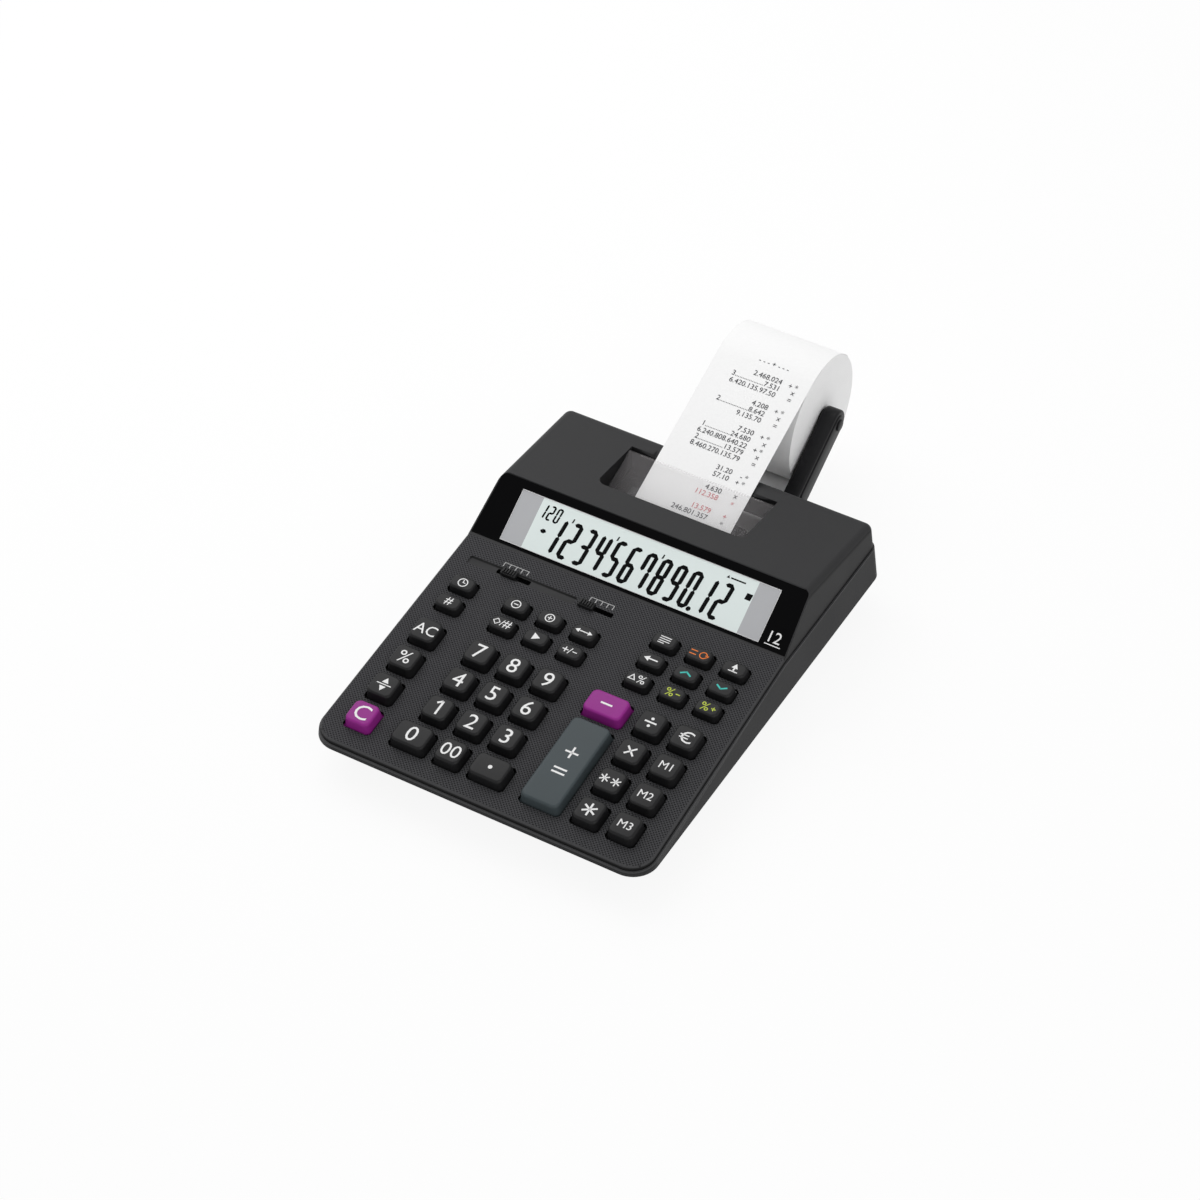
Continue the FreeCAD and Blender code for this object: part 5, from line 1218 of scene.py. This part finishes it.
class CALCULATOR_OT_arms(bpy.types.Operator):
    """Models the two arms that carry the roll"""

    bl_idname = "calculator.arms"
    bl_label = "Roll arms"

    def execute(self, context):
        sizes = context.scene.calculator_sizes
        pivot = Vector((ROLL_AXIS.x, FRONT + sizes.pivot_depth, sizes.pivot_height))
        strip_start = pivot.lerp(ROLL_AXIS, STRIP_START)
        root = sizes.arm_root
        bm = bmesh.new()
        for side in (-1, 1):
            inner = ROLL_AXIS.x + side * (PAPER_WIDTH / 2 + sizes.arm_gap)
            outer = inner + side * sizes.arm_thickness
            strip = (outer - side * root, outer + side * sizes.strip_height)
            pin = (inner - side * sizes.arm_pin, inner + side * root)
            nub = (outer, outer + side * sizes.nub_height)
            stub = (inner - side * sizes.stub_reach, outer + side * sizes.stub_reach)
            self.bar(bm, (inner, outer), pivot, sizes.arm_foot, sizes.arm_head, sizes.arm_edge)
            self.bar(bm, strip, strip_start, sizes.strip_foot, sizes.strip_head, sizes.strip_edge)
            self.pin(bm, pin, ROLL_AXIS, sizes.arm_pin_radius, sizes.pin_edge)
            self.pin(bm, nub, ROLL_AXIS, sizes.nub_radius, sizes.pin_edge)
            self.pin(bm, stub, pivot, sizes.stub_radius, sizes.pin_edge)
        satin = moulded("arm_plastic", tone("arm"), roughness=0.4, depth=0.015 * MM, gloss=0.14)
        piece("roll_arms_rounded", bm, [satin], "arms", ["roll_arms"])
        return {"FINISHED"}

    def bar(self, bm, ends, foot, foot_radius, head_radius, edge):
        """A bar round a foot and the roll's axis, from one place across to another, with round edges."""
        part = bmesh.new()
        for x in ends:
            for axis, radius in ((foot, foot_radius), (ROLL_AXIS, head_radius)):
                at = Matrix.Translation((x, axis.y, axis.z)) @ ACROSS
                bmesh.ops.create_circle(part, cap_ends=False, segments=ARM_SIDES, radius=radius, matrix=at)
        inside = bmesh.ops.convex_hull(part, input=part.verts, use_existing_faces=False)["geom_interior"]
        bmesh.ops.delete(part, geom=inside, context="VERTS")
        bmesh.ops.dissolve_limit(part, angle_limit=math.radians(1.0), verts=part.verts, edges=part.edges)
        rounded(part, steep_edges(part), edge, segments=3)
        self.add(bm, part)

    def pin(self, bm, ends, axis, radius, edge):
        """A round pin about an axis, from one place across to another, with round edges."""
        part = bmesh.new()
        at = Matrix.Translation((sum(ends) / 2, axis.y, axis.z)) @ ACROSS
        post(part, at, radius, abs(ends[1] - ends[0]), PIN_SIDES)
        rounded(part, steep_edges(part), edge, segments=2)
        self.add(bm, part)

    def add(self, bm, part):
        """Joins a part on with its faces outwards."""
        bmesh.ops.recalc_face_normals(part, faces=part.faces)
        join(bm, part)


# Cross slots of the screws, painted as dark marks for the shade in them, in millimetres

SLOT_LENGTH, SLOT_WIDTH = 3.6, 0.7

# Finish of bare metal

METAL = {"scale": 1500.0, "depth": 0.01 * MM, "gloss": 0.5}


class CALCULATOR_OT_underside(bpy.types.Operator):
    """Models the battery cover's grip, the case screws and the adapter socket"""

    bl_idname = "calculator.underside"
    bl_label = "Underside"

    def execute(self, context):
        sizes = context.scene.calculator_sizes
        self.battery_cover(sizes)
        self.screws(sizes)
        self.inlet(sizes)
        return {"FINISHED"}

    def battery_cover(self, sizes):
        """The cover with grip ribs that get shorter towards the front."""
        bm = merged_copy("battery_cover")
        low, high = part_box("battery_cover")
        lower, upper = low.z - sizes.grip_height, low.z + sizes.grip_root
        for number in range(sizes.grip_ribs):
            at = Vector(((low.x + high.x) / 2, high.y - sizes.grip_start - number * sizes.grip_pitch, low.z))
            rib = Vector((sizes.grip_reach - number * sizes.grip_step, sizes.grip_width / 2, 0))
            box(bm, level(at - rib, lower), level(at + rib, upper), HERE, sizes.rib_edge)
        plastic = moulded("lid_plastic", tone("case"), roughness=0.5)
        piece("battery_cover_moulding", bm, [plastic], "battery_lid", ["battery_cover"])

    def screws(self, sizes):
        """Cross-headed screws that hold the two cases together."""
        low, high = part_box("rubber_feet")
        bm = bmesh.new()
        slot_shades = Marks()
        for x in (low.x + sizes.foot_radius, high.x - sizes.foot_radius):
            for y in (low.y + sizes.screw_inset, high.y - sizes.screw_inset):
                middle = high.z - sizes.screw_drop
                verts = post(bm, Matrix.Translation((x, y, middle)), sizes.screw_face, sizes.screw_head,
                             sides=28, tip=sizes.screw_radius)
                face_rim = [edge for edge in edges_of(verts) if max(v.co.z for v in edge.verts) < middle]
                rounded(bm, face_rim, sizes.screw_edge, segments=3)
                for turn in (0, 90):
                    slot_shades.bar(SLOT_LENGTH, SLOT_WIDTH, x / MM, y / MM, turn)
        zinc = moulded("screw_zinc", tone("zinc"), roughness=0.35, **METAL, Metallic=0.9)
        piece("case_screws", bm, [zinc], "root")
        # Painted shade: dark crosses on the screws' faces stand for the shade in their slots
        under = high.z - sizes.screw_drop - sizes.screw_head / 2 - sizes.ink_height / 2
        slot_shade_marks = slot_shades.placed(Matrix.Translation((0, 0, under)))
        bmesh.ops.reverse_faces(slot_shade_marks, faces=slot_shade_marks.faces)
        piece("case_screw_slots", slot_shade_marks, [ink("screw_slot", tone("panel"))], "root")

    def inlet(self, sizes):
        """Pin and back of the adapter socket in the left wall."""
        middle = Vector((CAD_BOX[0].x + sizes.inlet_sunk, FRONT + sizes.inlet_depth, sizes.inlet_height))
        at = Matrix.Translation(middle) @ ACROSS
        bm = bmesh.new()
        post(bm, at, sizes.inlet_pin_radius, sizes.inlet_pin, sides=20)
        back = at @ Matrix.Translation((0, 0, sizes.inlet_pin / 2))
        post(bm, back, sizes.inlet_radius, sizes.inlet_back, sides=32)
        nickel = moulded("inlet_nickel", tone("nickel"), roughness=0.3, **METAL, Metallic=1.0)
        piece("adapter_inlet", bm, [nickel], "root")


# Stage, in metres and watts; each lamp has its place, its width and its power

FLOOR_HALF, FLOOR_GREY, FLOOR_WHITE = 6.0, 0.9, 0.9
WORLD_LIGHT = 0.55
LAMPS = {"top_light": ((-0.5, 0.3, 0.9), 1.0, 6.4), "side_light": ((1.3, -0.9, 1.0), 1.2, 6.5)}
CAMERA_TARGET = Vector((-0.01224, -0.03103, 0.036))
CAMERA_BACK = Vector((0.35990, -0.62200, 0.69540)).normalized()
CAMERA_DISTANCE = 1.85998
LENS_MM, SENSOR_MM = 107.62, 36.0


class CALCULATOR_OT_stage(bpy.types.Operator):
    """Sets the floor, the light and the camera"""

    bl_idname = "calculator.stage"
    bl_label = "Stage"

    def execute(self, context):
        scene = context.scene
        scene.view_settings.view_transform = "Standard"
        self.floor()
        self.world(scene)
        for name, (place, width, power) in LAMPS.items():
            light = bpy.data.lights.new(name, "AREA")
            light.size = width
            light.energy = power
            self.stand(scene, light, Vector(place), Vector(place))
        lens = bpy.data.cameras.new("camera")
        lens.lens = LENS_MM
        lens.sensor_width = SENSOR_MM
        scene.camera = self.stand(scene, lens, CAMERA_TARGET + CAMERA_BACK * CAMERA_DISTANCE, CAMERA_BACK)
        return {"FINISHED"}

    def floor(self):
        """A pale floor that the eye sees as white, but for a share of its shadows."""
        finish = Finish("floor_white", Roughness=0.9, Base_Color=(FLOOR_GREY, FLOOR_GREY, FLOOR_GREY, 1.0))
        white = finish.node("ShaderNodeEmission", None, {"Color": (1, 1, 1, 1), "Strength": 1.0})
        lit = Value(finish, finish.shader.outputs[0])
        both = finish.node("ShaderNodeMixShader", None,
                           {0: finish.seen_as_white() * FLOOR_WHITE, 1: lit, 2: white})
        finish.feed(finish.tree.nodes["Material Output"].inputs["Surface"], both)
        bm = bmesh.new()
        bmesh.ops.create_grid(bm, x_segments=1, y_segments=1, size=FLOOR_HALF)
        piece("floor", bm, [finish], None)

    def world(self, scene):
        """A white surround that gives less light than the eye sees in it."""
        world = bpy.data.worlds.new("studio")
        world.use_nodes = True
        nodes = Nodes(world.node_tree)
        ground = world.node_tree.nodes["Background"]
        nodes.feed(ground.inputs["Color"], (1, 1, 1, 1))
        nodes.feed(ground.inputs["Strength"], nodes.seen_as_white() * (1.0 - WORLD_LIGHT) + WORLD_LIGHT)
        scene.world = world

    def stand(self, scene, data, place, back):
        """A lamp or camera at a place, looking away from a direction behind it."""
        made = bpy.data.objects.new(data.name, data)
        made.location = place
        made.rotation_mode = "QUATERNION"
        made.rotation_quaternion = back.to_track_quat("Z", "Y")
        scene.collection.objects.link(made)
        return made


class CALCULATOR_PT_pieces(bpy.types.Panel):
    """Lists the calculator's pieces"""

    bl_idname = "CALCULATOR_PT_pieces"
    bl_label = "Desk calculator"
    bl_space_type = "VIEW_3D"
    bl_region_type = "UI"
    bl_category = "Calculator"

    def draw(self, context):
        for operator in OPERATORS:
            self.layout.operator(operator.bl_idname)


OPERATORS = (CALCULATOR_OT_case, CALCULATOR_OT_keys, CALCULATOR_OT_switches, CALCULATOR_OT_display,
             CALCULATOR_OT_printer, CALCULATOR_OT_paper, CALCULATOR_OT_arms, CALCULATOR_OT_underside,
             CALCULATOR_OT_stage)
CLASSES = (CalculatorSizes, CalculatorColours, CALCULATOR_PT_pieces) + OPERATORS


def register():
    for one in CLASSES:
        bpy.utils.register_class(one)
    bpy.types.Scene.calculator_sizes = PointerProperty(type=CalculatorSizes)
    bpy.types.Scene.calculator_colours = PointerProperty(type=CalculatorColours)


def unregister():
    del bpy.types.Scene.calculator_colours
    del bpy.types.Scene.calculator_sizes
    for one in reversed(CLASSES):
        bpy.utils.unregister_class(one)


def main():
    register()
    bpy.ops.calculator.case()
    bpy.ops.calculator.keys()
    bpy.ops.calculator.switches()
    bpy.ops.calculator.display()
    bpy.ops.calculator.printer()
    bpy.ops.calculator.paper()
    bpy.ops.calculator.arms()
    bpy.ops.calculator.underside()
    bpy.ops.calculator.stage()


if __name__ == "__main__":
    main()
